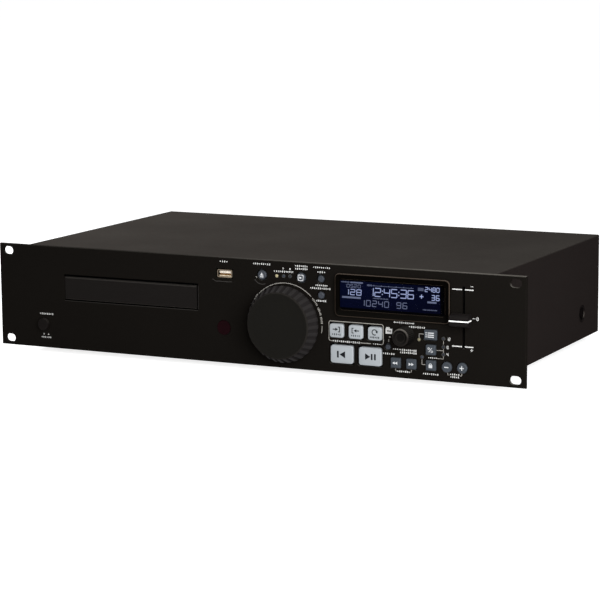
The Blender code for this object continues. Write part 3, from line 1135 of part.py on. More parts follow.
def make_infrared_window(build):
    spot = panel_point(INFRARED_PLACE_SHARES)
    back = -KEY_FLANGE_FRONT
    profile = [(0.0, INFRARED_PROUD), (INFRARED_RADIUS, INFRARED_PROUD), (INFRARED_RADIUS, back),
               (INFRARED_RADIUS + KEY_FLANGE, back),
               (INFRARED_RADIUS + KEY_FLANGE, back - KEY_FLANGE_THICKNESS),
               (0.0, back - KEY_FLANGE_THICKNESS)]
    build.front_turned("infrared_window", profile, spot, PLAIN_FACETS, "red_window")


def make_usb_socket(build):
    x, z = panel_point(USB_PLACE_SHARES)
    back = CONTROL_BOARD_FRONT - GAP
    shape = bmesh.new()
    add_block(shape, (USB_WIDTH, back - USB_RECESS, USB_HEIGHT), (x, (USB_RECESS + back) / 2, z))
    socket = build.solid("usb_socket", shape, "nickel")
    cavity = bmesh.new()
    add_block(cavity, (USB_WIDTH - 2 * USB_WALL, USB_CAVITY_DEPTH + OVERRUN, USB_HEIGHT - 2 * USB_WALL),
              (x, USB_RECESS + (USB_CAVITY_DEPTH - OVERRUN) / 2, z))
    build.tool("usb_cavity_cutter", cavity, socket, "DIFFERENCE")
    tongue = bmesh.new()
    end = USB_RECESS + USB_CAVITY_DEPTH + SINK
    add_block(tongue, (USB_TONGUE_WIDTH, USB_TONGUE_LENGTH, USB_TONGUE_HEIGHT),
              (x, end - USB_TONGUE_LENGTH / 2, z + USB_TONGUE_RISE))
    build.tool("usb_tongue", tongue, socket, "UNION")


def make_light_pipes(build):
    for name, places in LIGHT_PLACE_SHARES.items():
        spots = [panel_point(shares) for shares in places]
        xs = [spot[0] for spot in spots]
        zs = [spot[1] for spot in spots]
        middle = ((min(xs) + max(xs)) / 2, (min(zs) + max(zs)) / 2)
        shape = bmesh.new()
        add_block(shape, (max(xs) - min(xs) + LIGHT_WEB_WIDTH, LIGHT_WEB_THICKNESS,
                          max(zs) - min(zs) + LIGHT_WEB_WIDTH),
                  (middle[0], LIGHT_WEB_FRONT + LIGHT_WEB_THICKNESS / 2, middle[1]))
        web = build.solid(name, shape, "light_pipe")
        pins = bmesh.new()
        end = LIGHT_WEB_FRONT + SINK
        for x, z in spots:
            centre = (x, (end - LIGHT_PROUD) / 2, z)
            add_disc(pins, LIGHT_RADIUS, end + LIGHT_PROUD, centre, facets=TINY_FACETS)
        build.tool(f"{name}_pins", pins, web, "UNION")


def make_control_board(build):
    bottom = CONTROL_BOARD_BOTTOM_SHARE * PANEL_HEIGHT
    top = CONTROL_BOARD_TOP_SHARE * PANEL_HEIGHT
    shape = bmesh.new()
    add_block(shape, (CONTROL_BOARD_RIGHT - CONTROL_BOARD_LEFT, BOARD_THICKNESS, top - bottom),
              ((CONTROL_BOARD_LEFT + CONTROL_BOARD_RIGHT) / 2, CONTROL_BOARD_FRONT + BOARD_THICKNESS / 2,
               (top + bottom) / 2))
    board = build.solid("control_board", shape, "board")
    switches = bmesh.new()
    for name in KEY_PLACE_SHARES:
        x, z = key_spot(name)
        add_block(switches, (KEY_SWITCH_SIDE, KEY_SWITCH_HEIGHT + SINK, KEY_SWITCH_SIDE),
                  (x, CONTROL_BOARD_FRONT - (KEY_SWITCH_HEIGHT - SINK) / 2, z))
    build.tool("key_switches", switches, board, "UNION")


def make_main_board(build):
    y = MAIN_BOARD_FRONT + MAIN_BOARD_DEPTH / 2
    top = MAIN_BOARD_BOTTOM + BOARD_THICKNESS
    shape = bmesh.new()
    add_block(shape, (MAIN_BOARD_WIDTH, MAIN_BOARD_DEPTH, BOARD_THICKNESS),
              (MAIN_BOARD_CENTRE_X, y, MAIN_BOARD_BOTTOM + BOARD_THICKNESS / 2))
    board = build.solid("main_board", shape, "board")
    added = bmesh.new()
    for shares in CAPACITOR_PLACE_SHARES:
        add_disc(added, CAPACITOR_RADIUS, CAPACITOR_HEIGHT + SINK,
                 (MAIN_BOARD_CENTRE_X + shares[0] * MAIN_BOARD_WIDTH, y + shares[1] * MAIN_BOARD_DEPTH,
                  top + (CAPACITOR_HEIGHT - SINK) / 2), "Z")
    for shares in CHIP_PLACE_SHARES:
        add_block(added, (CHIP_SIDE, CHIP_SIDE, CHIP_HEIGHT + SINK),
                  (MAIN_BOARD_CENTRE_X + shares[0] * MAIN_BOARD_WIDTH, y + shares[1] * MAIN_BOARD_DEPTH,
                   top + (CHIP_HEIGHT - SINK) / 2))
    width, depth, height = HEATSINK_SIZE
    add_block(added, (width, depth, height + SINK),
              (MAIN_BOARD_CENTRE_X + HEATSINK_PLACE_SHARES[0] * MAIN_BOARD_WIDTH,
               y + HEATSINK_PLACE_SHARES[1] * MAIN_BOARD_DEPTH, top + (height - SINK) / 2))
    build.tool("main_board_parts", added, board, "UNION")


def make_transformer(build):
    y = TRANSFORMER_CENTRE_Y
    bottom = FLOOR_TOP + GAP
    middle = bottom + TRANSFORMER_HEIGHT / 2
    shape = bmesh.new()
    add_block(shape, (TRANSFORMER_WIDTH, TRANSFORMER_DEPTH, TRANSFORMER_HEIGHT),
              (TRANSFORMER_CENTRE_X, y, middle))
    core = build.solid("mains_transformer", shape, "copper_winding")
    winding = bmesh.new()
    add_block(winding, (WINDING_WIDTH, WINDING_DEPTH, WINDING_HEIGHT), (TRANSFORMER_CENTRE_X, y, middle), 2,
              WINDING_ROUND, 2)
    build.tool("transformer_winding", winding, core, "UNION")


def make_power_switch(build):
    x, z = POWER_KEY_SPOT
    front = BEHIND_PANEL + GAP
    shape = bmesh.new()
    add_block(shape, (SWITCH_BODY, SWITCH_DEPTH, SWITCH_BODY), (x, front + SWITCH_DEPTH / 2, z))
    switch = build.solid("power_switch", shape, "grey_plastic")
    bore = bmesh.new()
    add_disc(bore, POWER_KEY / 2 + KEY_CLEARANCE, SWITCH_BORE_DEPTH + OVERRUN,
             (x, front + (SWITCH_BORE_DEPTH - OVERRUN) / 2, z), facets=SMALL_FACETS)
    build.tool("power_switch_bore_cutter", bore, switch, "DIFFERENCE")
    radius = POWER_KEY / 2
    back = -(front + SWITCH_BORE_DEPTH - POWER_KEY_TRAVEL - GAP)
    profile = [(0.0, POWER_KEY_PROUD), (radius - KEY_EDGE_ROUND, POWER_KEY_PROUD),
               (radius, POWER_KEY_PROUD - KEY_EDGE_ROUND), (radius, back), (0.0, back)]
    build.front_turned("power_button", profile, (x, z), SMALL_FACETS, "black_plastic")


def make_keys(build):
    flange_back = -(KEY_FLANGE_FRONT + KEY_FLANGE_THICKNESS)
    for name, (diameter, proud) in ROUND_KEYS.items():
        radius = diameter / 2
        profile = [(0.0, proud), (radius - KEY_EDGE_ROUND, proud), (radius, proud - KEY_EDGE_ROUND),
                   (radius, -KEY_FLANGE_FRONT), (radius + KEY_FLANGE, -KEY_FLANGE_FRONT),
                   (radius + KEY_FLANGE, flange_back), (KEY_STEM_RADIUS, flange_back),
                   (KEY_STEM_RADIUS, -KEY_STEM_END), (0.0, -KEY_STEM_END)]
        build.front_turned(name, profile, panel_point(KEY_PLACE_SHARES[name]), SMALL_FACETS, "slate_key")
    for name, ((width, height), corner, proud) in SQUARE_KEYS.items():
        x, z = panel_point(KEY_PLACE_SHARES[name])
        back = -KEY_FLANGE_FRONT - SINK
        shape = bmesh.new()
        add_block(shape, (width, height, proud - back), (0.0, 0.0, (proud + back) / 2), 2, corner, 2)
        rim = [edge for edge in shape.edges if all(vert.co.z > 0.0 for vert in edge.verts)
               and abs(edge.verts[0].co.z - edge.verts[1].co.z) < KEY_EDGE_ROUND]
        bmesh.ops.bevel(shape, geom=rim, offset=KEY_EDGE_ROUND, offset_type="OFFSET", segments=1,
                        profile=0.5, affect="EDGES", material=-1)
        key = finish_mesh(name, shape, build.parts)
        place(key, build.frame, (x, 0.0, z), FACING)
        paint(key, build.paints["pale_key" if corner == LARGE_KEY_CORNER else "slate_key"])
        flange = bmesh.new()
        add_block(flange, (width + 2 * KEY_FLANGE, height + 2 * KEY_FLANGE, KEY_FLANGE_THICKNESS),
                  (0.0, 0.0, (flange_back - KEY_FLANGE_FRONT) / 2))
        build.tool(f"{name}_flange", flange, key, "UNION")
        stem = bmesh.new()
        stem_front = flange_back + SINK
        centre = (0.0, 0.0, (stem_front - KEY_STEM_END) / 2)
        add_disc(stem, KEY_STEM_RADIUS, KEY_STEM_END + stem_front, centre, "Z", TINY_FACETS)
        build.tool(f"{name}_stem", stem, key, "UNION")


def make_jog(build):
    spot = panel_point(JOG_PLACE_SHARES)
    edge = JOG_EDGE_ROUND
    foot_back = JOG_LIFT
    profile = [(0.0, JOG_PROUD), (JOG_FACE_RADIUS, JOG_PROUD), (JOG_FACE_RADIUS + edge, JOG_PROUD - edge),
               (JOG_GRIP_RADIUS, JOG_GRIP_PROUD), (JOG_FOOT_RADIUS, foot_back + edge),
               (JOG_FOOT_RADIUS - edge, foot_back), (JOG_HUB_RADIUS, foot_back),
               (JOG_HUB_RADIUS, -JOG_HUB_LENGTH), (JOG_BORE_RADIUS, -JOG_HUB_LENGTH),
               (JOG_BORE_RADIUS, JOG_BORE_DEPTH - JOG_HUB_LENGTH), (0.0, JOG_BORE_DEPTH - JOG_HUB_LENGTH)]
    build.front_turned("jog_wheel", profile, spot, FINE_FACETS, "soft_black")
    body_front = -(JOG_HUB_LENGTH + 2 * GAP)
    shaft_front = JOG_BORE_DEPTH - JOG_HUB_LENGTH - GAP
    profile = [(0.0, shaft_front), (JOG_BORE_RADIUS - GAP, shaft_front), (JOG_BORE_RADIUS - GAP, body_front),
               (JOG_ENCODER_RADIUS, body_front), (JOG_ENCODER_RADIUS, -(CONTROL_BOARD_FRONT - GAP)),
               (0.0, -(CONTROL_BOARD_FRONT - GAP))]
    build.front_turned("jog_encoder", profile, spot, SMALL_FACETS, "zinc_steel")


def make_track_knob(build):
    spot = panel_point(TRACK_PLACE_SHARES)
    dish = TRACK_PROUD - TRACK_DISH_DEPTH
    rim = (TRACK_RADIUS - TRACK_FACE_RADIUS) / 2
    profile = [(0.0, dish), (TRACK_FACE_RADIUS - rim, dish), (TRACK_FACE_RADIUS, TRACK_PROUD),
               (TRACK_RADIUS - rim, TRACK_PROUD - rim), (TRACK_RADIUS, TRACK_LIFT),
               (TRACK_BORE_RADIUS, TRACK_LIFT),
               (TRACK_BORE_RADIUS, TRACK_LIFT + TRACK_BORE_DEPTH), (0.0, TRACK_LIFT + TRACK_BORE_DEPTH)]
    build.front_turned("track_knob", profile, spot, PLAIN_FACETS, "soft_black")
    bush_front = TRACK_LIFT - GAP
    shaft_front = TRACK_LIFT + TRACK_BORE_DEPTH - GAP
    body_front = -(BEHIND_PANEL + GAP)
    body_back = -(CONTROL_BOARD_FRONT - GAP)
    profile = [(0.0, shaft_front), (TRACK_BORE_RADIUS - GAP, shaft_front),
               (TRACK_BORE_RADIUS - GAP, bush_front),
               (TRACK_BUSH_RADIUS, bush_front), (TRACK_BUSH_RADIUS, body_front - SINK),
               (0.0, body_front - SINK)]
    shape = bmesh.new()
    add_block(shape, (TRACK_ENCODER_SIDE, TRACK_ENCODER_SIDE, body_front - body_back),
              (0.0, 0.0, (body_front + body_back) / 2))
    encoder = finish_mesh("track_encoder", shape, build.parts)
    place(encoder, build.frame, (spot[0], 0.0, spot[1]), FACING)
    paint(encoder, build.paints["zinc_steel"])
    bush = turned("track_bush", profile, build.tools, TINY_FACETS)
    combine(encoder, bush, "UNION")


def make_fader(build):
    x, z = FADER_SPOT
    front = BEHIND_PANEL + GAP
    back = CONTROL_BOARD_FRONT - GAP
    shape = bmesh.new()
    length = FADER_SLOT_LENGTH + 2 * FADER_BODY_END
    add_block(shape, (FADER_BODY_WIDTH, back - front, length), (x, (front + back) / 2, z))
    body = build.solid("pitch_fader", shape, "zinc_steel")
    slot = bmesh.new()
    depth = FADER_LEVER_REACH - front + GAP
    centre = (x, front + (depth - OVERRUN) / 2, z)
    add_block(slot, (FADER_SLOT_WIDTH, depth + OVERRUN, FADER_SLOT_LENGTH), centre)
    build.tool("fader_slot_cutter", slot, body, "DIFFERENCE")

    cap_shape = bmesh.new()
    cap_depth = FADER_CAP_PROUD - FADER_CAP_LIFT
    verts = add_block(cap_shape, (FADER_CAP_WIDTH, FADER_CAP_HEIGHT, cap_depth),
                      (0.0, 0.0, FADER_CAP_LIFT + cap_depth / 2))
    for vert in verts:
        if vert.co.z > FADER_CAP_PROUD - OVERRUN:
            vert.co.y -= math.copysign(FADER_CAP_TAPER, vert.co.y)
    cap = finish_mesh("pitch_fader_cap", cap_shape, build.parts)
    place(cap, build.frame, (x, 0.0, z + FADER_REST), FACING)
    paint(cap, build.paints["soft_black"])
    lever = bmesh.new()
    lever_length = FADER_LEVER_REACH + FADER_CAP_LIFT + SINK
    add_block(lever, (FADER_LEVER_WIDTH, FADER_LEVER_HEIGHT, lever_length),
              (0.0, 0.0, FADER_CAP_LIFT + SINK - lever_length / 2))
    build.tool("fader_lever", lever, cap, "UNION")


def main():
    clear_scene()
    build = Build()
    make_front_panel(build)
    make_top_cover(build)
    make_base(build)
    make_rear_panel(build)
    make_cover_screws(build)
    make_feet(build)
    make_tray(build)
    make_drive_frame(build)
    make_clamp(build)
    make_spindle(build)
    make_laser_sled(build)
    make_tray_motor(build)
    make_display(build)
    make_infrared_window(build)
    make_usb_socket(build)
    make_light_pipes(build)
    make_control_board(build)
    make_main_board(build)
    make_transformer(build)
    make_power_switch(build)
    make_keys(build)
    make_jog(build)
    make_track_knob(build)
    make_fader(build)
    make_rear_connectors(build)


main()
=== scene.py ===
"""Looks of a rack media player: finishes, display, printed marks and detailed controls round the CAD frame.

Metres, +Z up, front towards -Y. Places on the panel are given in millimetres: x from the panel's middle,
z from its lower edge, and out, the distance in front of the panel's face.
"""

import json
import math

import bmesh
import bpy
from mathutils import Matrix, Vector


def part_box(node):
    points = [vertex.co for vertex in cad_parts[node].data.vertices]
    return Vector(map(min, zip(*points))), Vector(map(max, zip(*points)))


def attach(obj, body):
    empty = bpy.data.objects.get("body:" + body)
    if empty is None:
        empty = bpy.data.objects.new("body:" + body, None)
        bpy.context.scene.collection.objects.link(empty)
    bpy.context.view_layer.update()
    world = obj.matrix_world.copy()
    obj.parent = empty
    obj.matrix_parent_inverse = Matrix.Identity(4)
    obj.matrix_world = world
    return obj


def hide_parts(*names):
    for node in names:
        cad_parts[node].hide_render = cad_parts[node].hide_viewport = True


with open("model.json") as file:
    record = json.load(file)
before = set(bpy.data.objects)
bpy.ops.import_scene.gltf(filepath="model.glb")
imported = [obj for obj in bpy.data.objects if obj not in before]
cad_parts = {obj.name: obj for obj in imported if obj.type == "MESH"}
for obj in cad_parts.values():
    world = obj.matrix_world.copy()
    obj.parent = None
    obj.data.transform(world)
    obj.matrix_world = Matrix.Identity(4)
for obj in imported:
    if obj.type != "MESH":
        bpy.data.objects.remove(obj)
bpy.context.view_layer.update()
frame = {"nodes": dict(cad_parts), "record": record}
NODES = frame["nodes"]
BODY_OF = {node: body for body, names in frame["record"]["behaviour"]["bodies"].items() for node in names}

bl_info = {
    "name": "Rack media player looks",
    "version": (1, 0, 0),
    "blender": (4, 5, 0),
    "location": "View3D > Sidebar > Media player",
    "description": "Finishes, display, printed marks and detailed controls for the rack media player",
    "category": "Object",
}

MM = 0.001
PANEL_FACE_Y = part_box("front_panel")[0].y
PANEL_FOOT_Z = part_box("front_panel")[0].z
ORIGIN = Vector((0.0, 0.0, 0.0))
FACING = Matrix.Rotation(math.pi / 2, 4, "X")
FACING_BACK = Matrix.Rotation(-math.pi / 2, 4, "X")
LYING = Matrix.Identity(4)
RIGHT, UP, LEFT = 0.0, math.pi / 2, math.pi

PRINT_OUT = 0.01
PRINT_DEPTH = 0.05
KEY_FLANGE = 1.0
KEY_CARRIER = -3.5
WINDOW_LIP = 1.2
SOCKET_PITCH = 14.0


def srgb(red, green, blue):
    """Linear colour of an 8-bit screen colour."""
    def linear(value):
        share = value / 255
        return share / 12.92 if share <= 0.04045 else ((share + 0.055) / 1.055) ** 2.4
    return linear(red), linear(green), linear(blue)


def times(colour, share):
    return tuple(channel * share for channel in colour)


def at(x, z, out=0.0):
    """Point in the frame of a place on the panel, given in millimetres."""
    return Vector((x * MM, PANEL_FACE_Y - out * MM, PANEL_FOOT_Z + z * MM))


def extent(node):
    """Middle x and z, width, height, reach before the panel and reach behind it of a node, in millimetres."""
    low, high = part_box(node)
    return ((low.x + high.x) / 2 / MM, ((low.z + high.z) / 2 - PANEL_FOOT_Z) / MM, (high.x - low.x) / MM,
            (high.z - low.z) / MM, (PANEL_FACE_Y - low.y) / MM, (high.y - PANEL_FACE_Y) / MM)


# ---------------------------------------------------------------- settings

COLOUR = {"subtype": "COLOR", "size": 3, "min": 0.0, "max": 1.0}
FINE_LENGTH = {"unit": "LENGTH", "min": 0.0, "precision": 5}


class PlayerColours(bpy.types.PropertyGroup):
    """Colours of the player's finishes"""
    panel: bpy.props.FloatVectorProperty(
        name="Front panel", description="Black paint of the front plate", default=srgb(20, 18, 16), **COLOUR)
    cover: bpy.props.FloatVectorProperty(
        name="Case", description="Warm dark paint of the sheet-metal case", default=srgb(32, 28, 27), **COLOUR)
    pale_key: bpy.props.FloatVectorProperty(
        name="Pale keys", description="Large keys for cue, play and loops", default=srgb(156, 161, 165), **COLOUR)
    slate_key: bpy.props.FloatVectorProperty(
        name="Slate keys", description="Small round and square keys", default=srgb(58, 63, 69), **COLOUR)
    marks: bpy.props.FloatVectorProperty(
        name="Printed marks", description="Light print on the panel", default=srgb(205, 205, 203), **COLOUR)
    glow: bpy.props.FloatVectorProperty(
        name="Display ground", description="Lit ground of the display", default=srgb(4, 9, 33), **COLOUR)
    segments: bpy.props.FloatVectorProperty(
        name="Display segments", description="Lit segments of the display", default=srgb(178, 192, 240), **COLOUR)


class PlayerSizes(bpy.types.PropertyGroup):
    """Sizes of the player's details"""
    jog_ribs: bpy.props.IntProperty(
        name="Jog ribs", description="Grip ribs round the jog wheel", default=32, min=8, max=90)
    jog_rib_depth: bpy.props.FloatProperty(
        name="Jog rib depth", description="Depth of the grooves between the jog wheel's ribs", default=0.65 * MM,
        max=1.5 * MM, **FINE_LENGTH)
    knob_ribs: bpy.props.IntProperty(
        name="Knob ribs", description="Grip ribs round the track knob", default=30, min=8, max=60)
    key_edge: bpy.props.FloatProperty(
        name="Key edge", description="Rounding of the keys' front edges", default=0.85 * MM, max=1.2 * MM,
        **FINE_LENGTH)


class StageSettings(bpy.types.PropertyGroup):
    """Camera and light of the stage"""
    camera_place: bpy.props.FloatVectorProperty(
        name="Camera place", description="Where the camera stands", subtype="TRANSLATION", size=3,
        default=(0.8540, -1.7484, 0.3604))
    camera_yaw: bpy.props.FloatProperty(
        name="Camera yaw", description="Turn about the vertical", subtype="ANGLE", default=-0.4604)
    camera_pitch: bpy.props.FloatProperty(
        name="Camera pitch", description="Tilt up or down", subtype="ANGLE", default=-0.1633)
    camera_roll: bpy.props.FloatProperty(
        name="Camera roll", description="Turn about the view axis", subtype="ANGLE", default=-0.0083)
    camera_lens: bpy.props.FloatProperty(
        name="Lens", description="Focal length on a 36 mm frame, in millimetres", default=136.8, min=10, max=400)
    floor_reach: bpy.props.FloatProperty(
        name="Floor reach", description="Half the side of the floor", default=40.0, min=1, unit="LENGTH")
    sky: bpy.props.FloatProperty(
        name="Sky", description="Strength of the soft light from straight above", default=0.47, min=0, max=2)
    horizon: bpy.props.FloatProperty(
        name="Horizon", description="Strength of the soft light from the sides", default=0.17, min=0, max=2)
    top_lamp: bpy.props.FloatProperty(
        name="Top lamp", description="Power of the soft lamp above the left end", unit="POWER", default=5.2, min=0)
    front_lamp: bpy.props.FloatProperty(
        name="Front lamp", description="Power of the soft lamp before the right end", unit="POWER", default=29.0,
        min=0)


# ---------------------------------------------------------------- shader nodes

class Term:
    """Output of a shader node, for sums with numbers and with other outputs."""

    def __init__(self, node, output=0):
        self.tree, self.socket = node.id_data, node.outputs[output]

    def calc(self, operation, other=0.0):
        return Term(add_node(self.tree, "Math", {0: self, 1: other}, operation=operation))

    def __add__(self, other):
        return self.calc("ADD", other)

    def __sub__(self, other):
        return self.calc("SUBTRACT", other)

    def __mul__(self, other):
        return self.calc("MULTIPLY", other)


def feed(node, values):
    """Gives a node's inputs numbers, colours or other nodes' outputs."""
    for name, value in values.items():
        socket = node.inputs[name]
        if isinstance(value, Term):
            value.tree.links.new(value.socket, socket)
        elif isinstance(value, tuple) and socket.type == "RGBA":
            socket.default_value = (*value, 1.0)
        else:
            socket.default_value = value


def add_node(tree, kind, values=None, **settings):
    node = tree.nodes.new("ShaderNode" + kind)
    for name, value in settings.items():
        setattr(node, name, value)
    feed(node, values or {})
    return node


def coords(tree):
    return Term(add_node(tree, "TexCoord"), "Object")


def along(vector, axis):
    """One axis of a vector."""
    return Term(add_node(vector.tree, "SeparateXYZ", {0: vector}), axis)


def noise(vector, scale, detail=3.0, roughness=0.6):
    values = {"Vector": vector, "Scale": scale, "Detail": detail, "Roughness": roughness}
    return Term(add_node(vector.tree, "TexNoise", values), "Fac")


def blend(factor, first, second):
    """Colour between two colours."""
    return Term(add_node(factor.tree, "Mix", {0: factor, 6: first, 7: second}, data_type="RGBA"), 2)


def shaded(colour, tone):
    """Colour times a tone."""
    return Term(add_node(tone.tree, "VectorMath", {0: colour, "Scale": tone}, operation="SCALE"))


def ramp(value, first, last, start=0.0, end=1.0, kind="LINEAR"):
    """Value carried from one span to another."""
    values = {"Value": value, "From Min": first, "From Max": last, "To Min": start, "To Max": end}
    return Term(add_node(value.tree, "MapRange", values, interpolation_type=kind), "Result")


def bumped(height, strength, distance):
    """Normal that follows a height, with its distance in millimetres."""
    values = {"Strength": strength, "Distance": distance * MM, "Height": height}
    return Term(add_node(height.tree, "Bump", values), "Normal")


# ---------------------------------------------------------------- shared effects, as node groups

def new_group(name, inputs, outputs):
    """Node group with named sockets; gives its tree, its inputs by name and its output node."""
    group = bpy.data.node_groups.new(name, "ShaderNodeTree")
    for label, default in inputs.items():
        kind = "Color" if default is None else "Vector" if isinstance(default, tuple) else "Float"
        socket = group.interface.new_socket(name=label, in_out="INPUT", socket_type="NodeSocket" + kind)
        if default is not None:
            socket.default_value = default
    for label in outputs:
        kind = "Color" if label == "Colour" else "Float"
        group.interface.new_socket(name=label, in_out="OUTPUT", socket_type="NodeSocket" + kind)
    start = group.nodes.new("NodeGroupInput")
    return group, {label: Term(start, label) for label in inputs}, group.nodes.new("NodeGroupOutput")


def surface_group():
    """Paint or moulded plastic: cloudy tone, fine grain, a pale tone on what faces up: dust and painted highlight.
    """
    group, given, end = new_group("painted_surface", {
        "Colour": None, "Tone Shift": 0.1, "Cloud Scale": 30.0, "Grain Scale": 900.0, "Roughness": 0.5,
        "Roughness Shift": 0.1, "Dust And Highlight": 0.0}, ("Colour", "Roughness", "Height"))
    place = coords(group)
    grain = noise(place, given["Grain Scale"], 2.0, 0.7)
    clouds = noise(place, given["Cloud Scale"], 4.0) * 0.65 + grain * 0.35 - 0.5
    facing_up = along(Term(add_node(group, "NewGeometry"), "Normal"), "Z").calc("MAXIMUM")
    specks = (noise(place, 260.0, 6.0, 0.75) - 0.5) * 0.07
    drifts = (noise(place, 9.0) - 0.5) * 0.12
    # up-facing faces turn pale: partly real dust, partly a painted highlight where a finish sets this high
    dust_and_highlight = facing_up * (specks + drifts + 0.15) * given["Dust And Highlight"]
    tone = shaded(given["Colour"], clouds * given["Tone Shift"] * 4.0 + 1.0)
    feed(end, {"Colour": blend(dust_and_highlight, tone, srgb(150, 146, 138)),
               "Roughness": clouds * given["Roughness Shift"] * 4.0 + given["Roughness"] + dust_and_highlight,
               "Height": grain})
    return group


def brushed_group():
    """Drawn or brushed metal: long fine lines along one axis."""
    group, given, end = new_group("drawn_metal", {
        "Colour": None, "Line Scale": (20.0, 900.0, 900.0), "Tone Shift": 0.15, "Roughness": 0.35,
        "Roughness Shift": 0.15}, ("Colour", "Roughness", "Height"))
    place = coords(group)
    stretched = Term(add_node(group, "VectorMath", {0: place, 1: given["Line Scale"]}, operation="MULTIPLY"))
    lines = noise(stretched, 1.0, 3.0, 0.65)
    swing = lines * 0.6 + noise(place, 45.0) * 0.4 - 0.5
    feed(end, {"Colour": shaded(given["Colour"], swing * given["Tone Shift"] + 1.0),
               "Roughness": swing * given["Roughness Shift"] + given["Roughness"], "Height": lines})
    return group


def worn_and_lit_edge_group():
    """Lighter tone on the corners of a moulded piece: partly wear, partly painted highlight."""
    group, given, end = new_group("worn_and_lit_edges", {"Colour": None, "Edge Colour": None, "Amount": 0.5},
                                  ("Colour",))
    corners = ramp(Term(add_node(group, "NewGeometry"), "Pointiness"), 0.52, 0.62)
    mask = corners * noise(coords(group), 500.0, 4.0, 0.7) * given["Amount"]
    feed(end, {"Colour": blend(mask, given["Colour"], given["Edge Colour"])})
    return group


GROUPS = {}
MATERIALS = {}


def placed(tree, effect, values):
    """Shared effect in a material, with the material's own values."""
    return add_node(tree, "Group", values, node_tree=GROUPS[effect])


# ---------------------------------------------------------------- finishes

def bare_material(name):
    """New material; gives its tree and its shader."""
    material = MATERIALS[name] = bpy.data.materials.new(name)
    material.use_nodes = True
    return material.node_tree, material.node_tree.nodes["Principled BSDF"]


def painted(name, colour, roughness, specular, tone, cloud=35.0, grain=1400.0, shift=0.05, dust_and_highlight=0.0, bump=0.25,
            depth=0.03):
    """Paint, rubber or moulded plastic; gives its surface node and its shader."""
    tree, shader = bare_material(name)
    surface = placed(tree, "surface", {
        "Colour": colour, "Tone Shift": tone, "Cloud Scale": cloud, "Grain Scale": grain, "Roughness": roughness,
        "Roughness Shift": shift, "Dust And Highlight": dust_and_highlight})
    feed(shader, {"Base Color": Term(surface, "Colour"), "Roughness": Term(surface, "Roughness"),
                  "Specular IOR Level": specular})
    if bump:
        feed(shader, {"Normal": bumped(Term(surface, "Height"), bump, depth)})
    return surface, shader


def metal(name, colour, roughness, lines, tone=0.3, bump=0.1):
    """Drawn, plated or turned metal."""
    tree, shader = bare_material(name)
    surface = placed(tree, "metal", {
        "Colour": colour, "Line Scale": lines, "Tone Shift": tone, "Roughness": roughness, "Roughness Shift": 0.3})
    feed(shader, {"Base Color": Term(surface, "Colour"), "Roughness": Term(surface, "Roughness"), "Metallic": 1.0,
                  "Normal": bumped(Term(surface, "Height"), bump, 0.02)})


def lit(name, colour, strength, body, scale, spread):
    """Surface that gives its own light, a little uneven."""
    tree, shader = bare_material(name)
    uneven = noise(coords(tree), scale)
    feed(shader, {"Emission Color": blend(uneven, times(colour, 1 - spread), colour),
                  "Base Color": blend(uneven, body, times(body, 1.5)), "Emission Strength": strength,
                  "Roughness": 0.4, "Specular IOR Level": 0.2})


def painted_shade_and_highlight(name, first, last, dark, pale):
    """Painted shade and highlight: dark paint that turns pale behind and below the middle of the right screws, over
    a span in millimetres.
    """
    tree, shader = bare_material(name)
    place = coords(tree)
    shade = None
    for node in ("right_front_cover_screw", "right_rear_cover_screw"):
        middle = sum(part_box(node), Vector()) / 2
        across = along(place, "Y") - middle.y
        lean = across * 0.9 - (along(place, "Z") - middle.z) * 0.3
        near = across.calc("ABSOLUTE").calc("LESS_THAN", 10 * MM) * lean.calc("MAXIMUM")
        shade = shade + near if shade else near
    painted_light = ramp(shade, first * MM, last * MM, kind="SMOOTHSTEP") * noise(place, 300.0)
    feed(shader, {"Base Color": blend(painted_light, dark, pale), "Roughness": painted_light * 0.2 + 0.5,
                  "Specular IOR Level": 0.0})


def circuit_board(name):
    """Solder mask with faint tracks and pads."""
    tree, shader = bare_material(name)
    tracks = add_node(tree, "TexVoronoi", {"Vector": coords(tree), "Scale": 260.0}, feature="DISTANCE_TO_EDGE")
    line = ramp(Term(tracks, "Distance"), 0.06, 0.10)
    feed(shader, {"Base Color": blend(line, (0.012, 0.085, 0.030), (0.006, 0.050, 0.018)), "Roughness": 0.35,
                  "Coat Weight": 0.3, "Normal": bumped(line, 0.3, 0.02)})


def display_glow(name, colour):
    """Lit ground of the display, brightest left of its middle and dark towards its right end."""
    tree, shader = bare_material(name)
    low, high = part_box("display_window")
    fade = ramp(along(coords(tree), "X"), low.x + (high.x - low.x) * 0.35, high.x, 1.0, 0.45, "SMOOTHSTEP")
    level = fade * ramp(along(coords(tree), "Z"), low.z, high.z, 0.7, 1.15, "SMOOTHSTEP")
    feed(shader, {"Emission Color": blend(level, (0.0006, 0.0008, 0.004), colour),
                  "Base Color": (0.001, 0.001, 0.004), "Roughness": level * 0.1 + 0.4, "Emission Strength": 1.0,
                  "Specular IOR Level": 0.0})
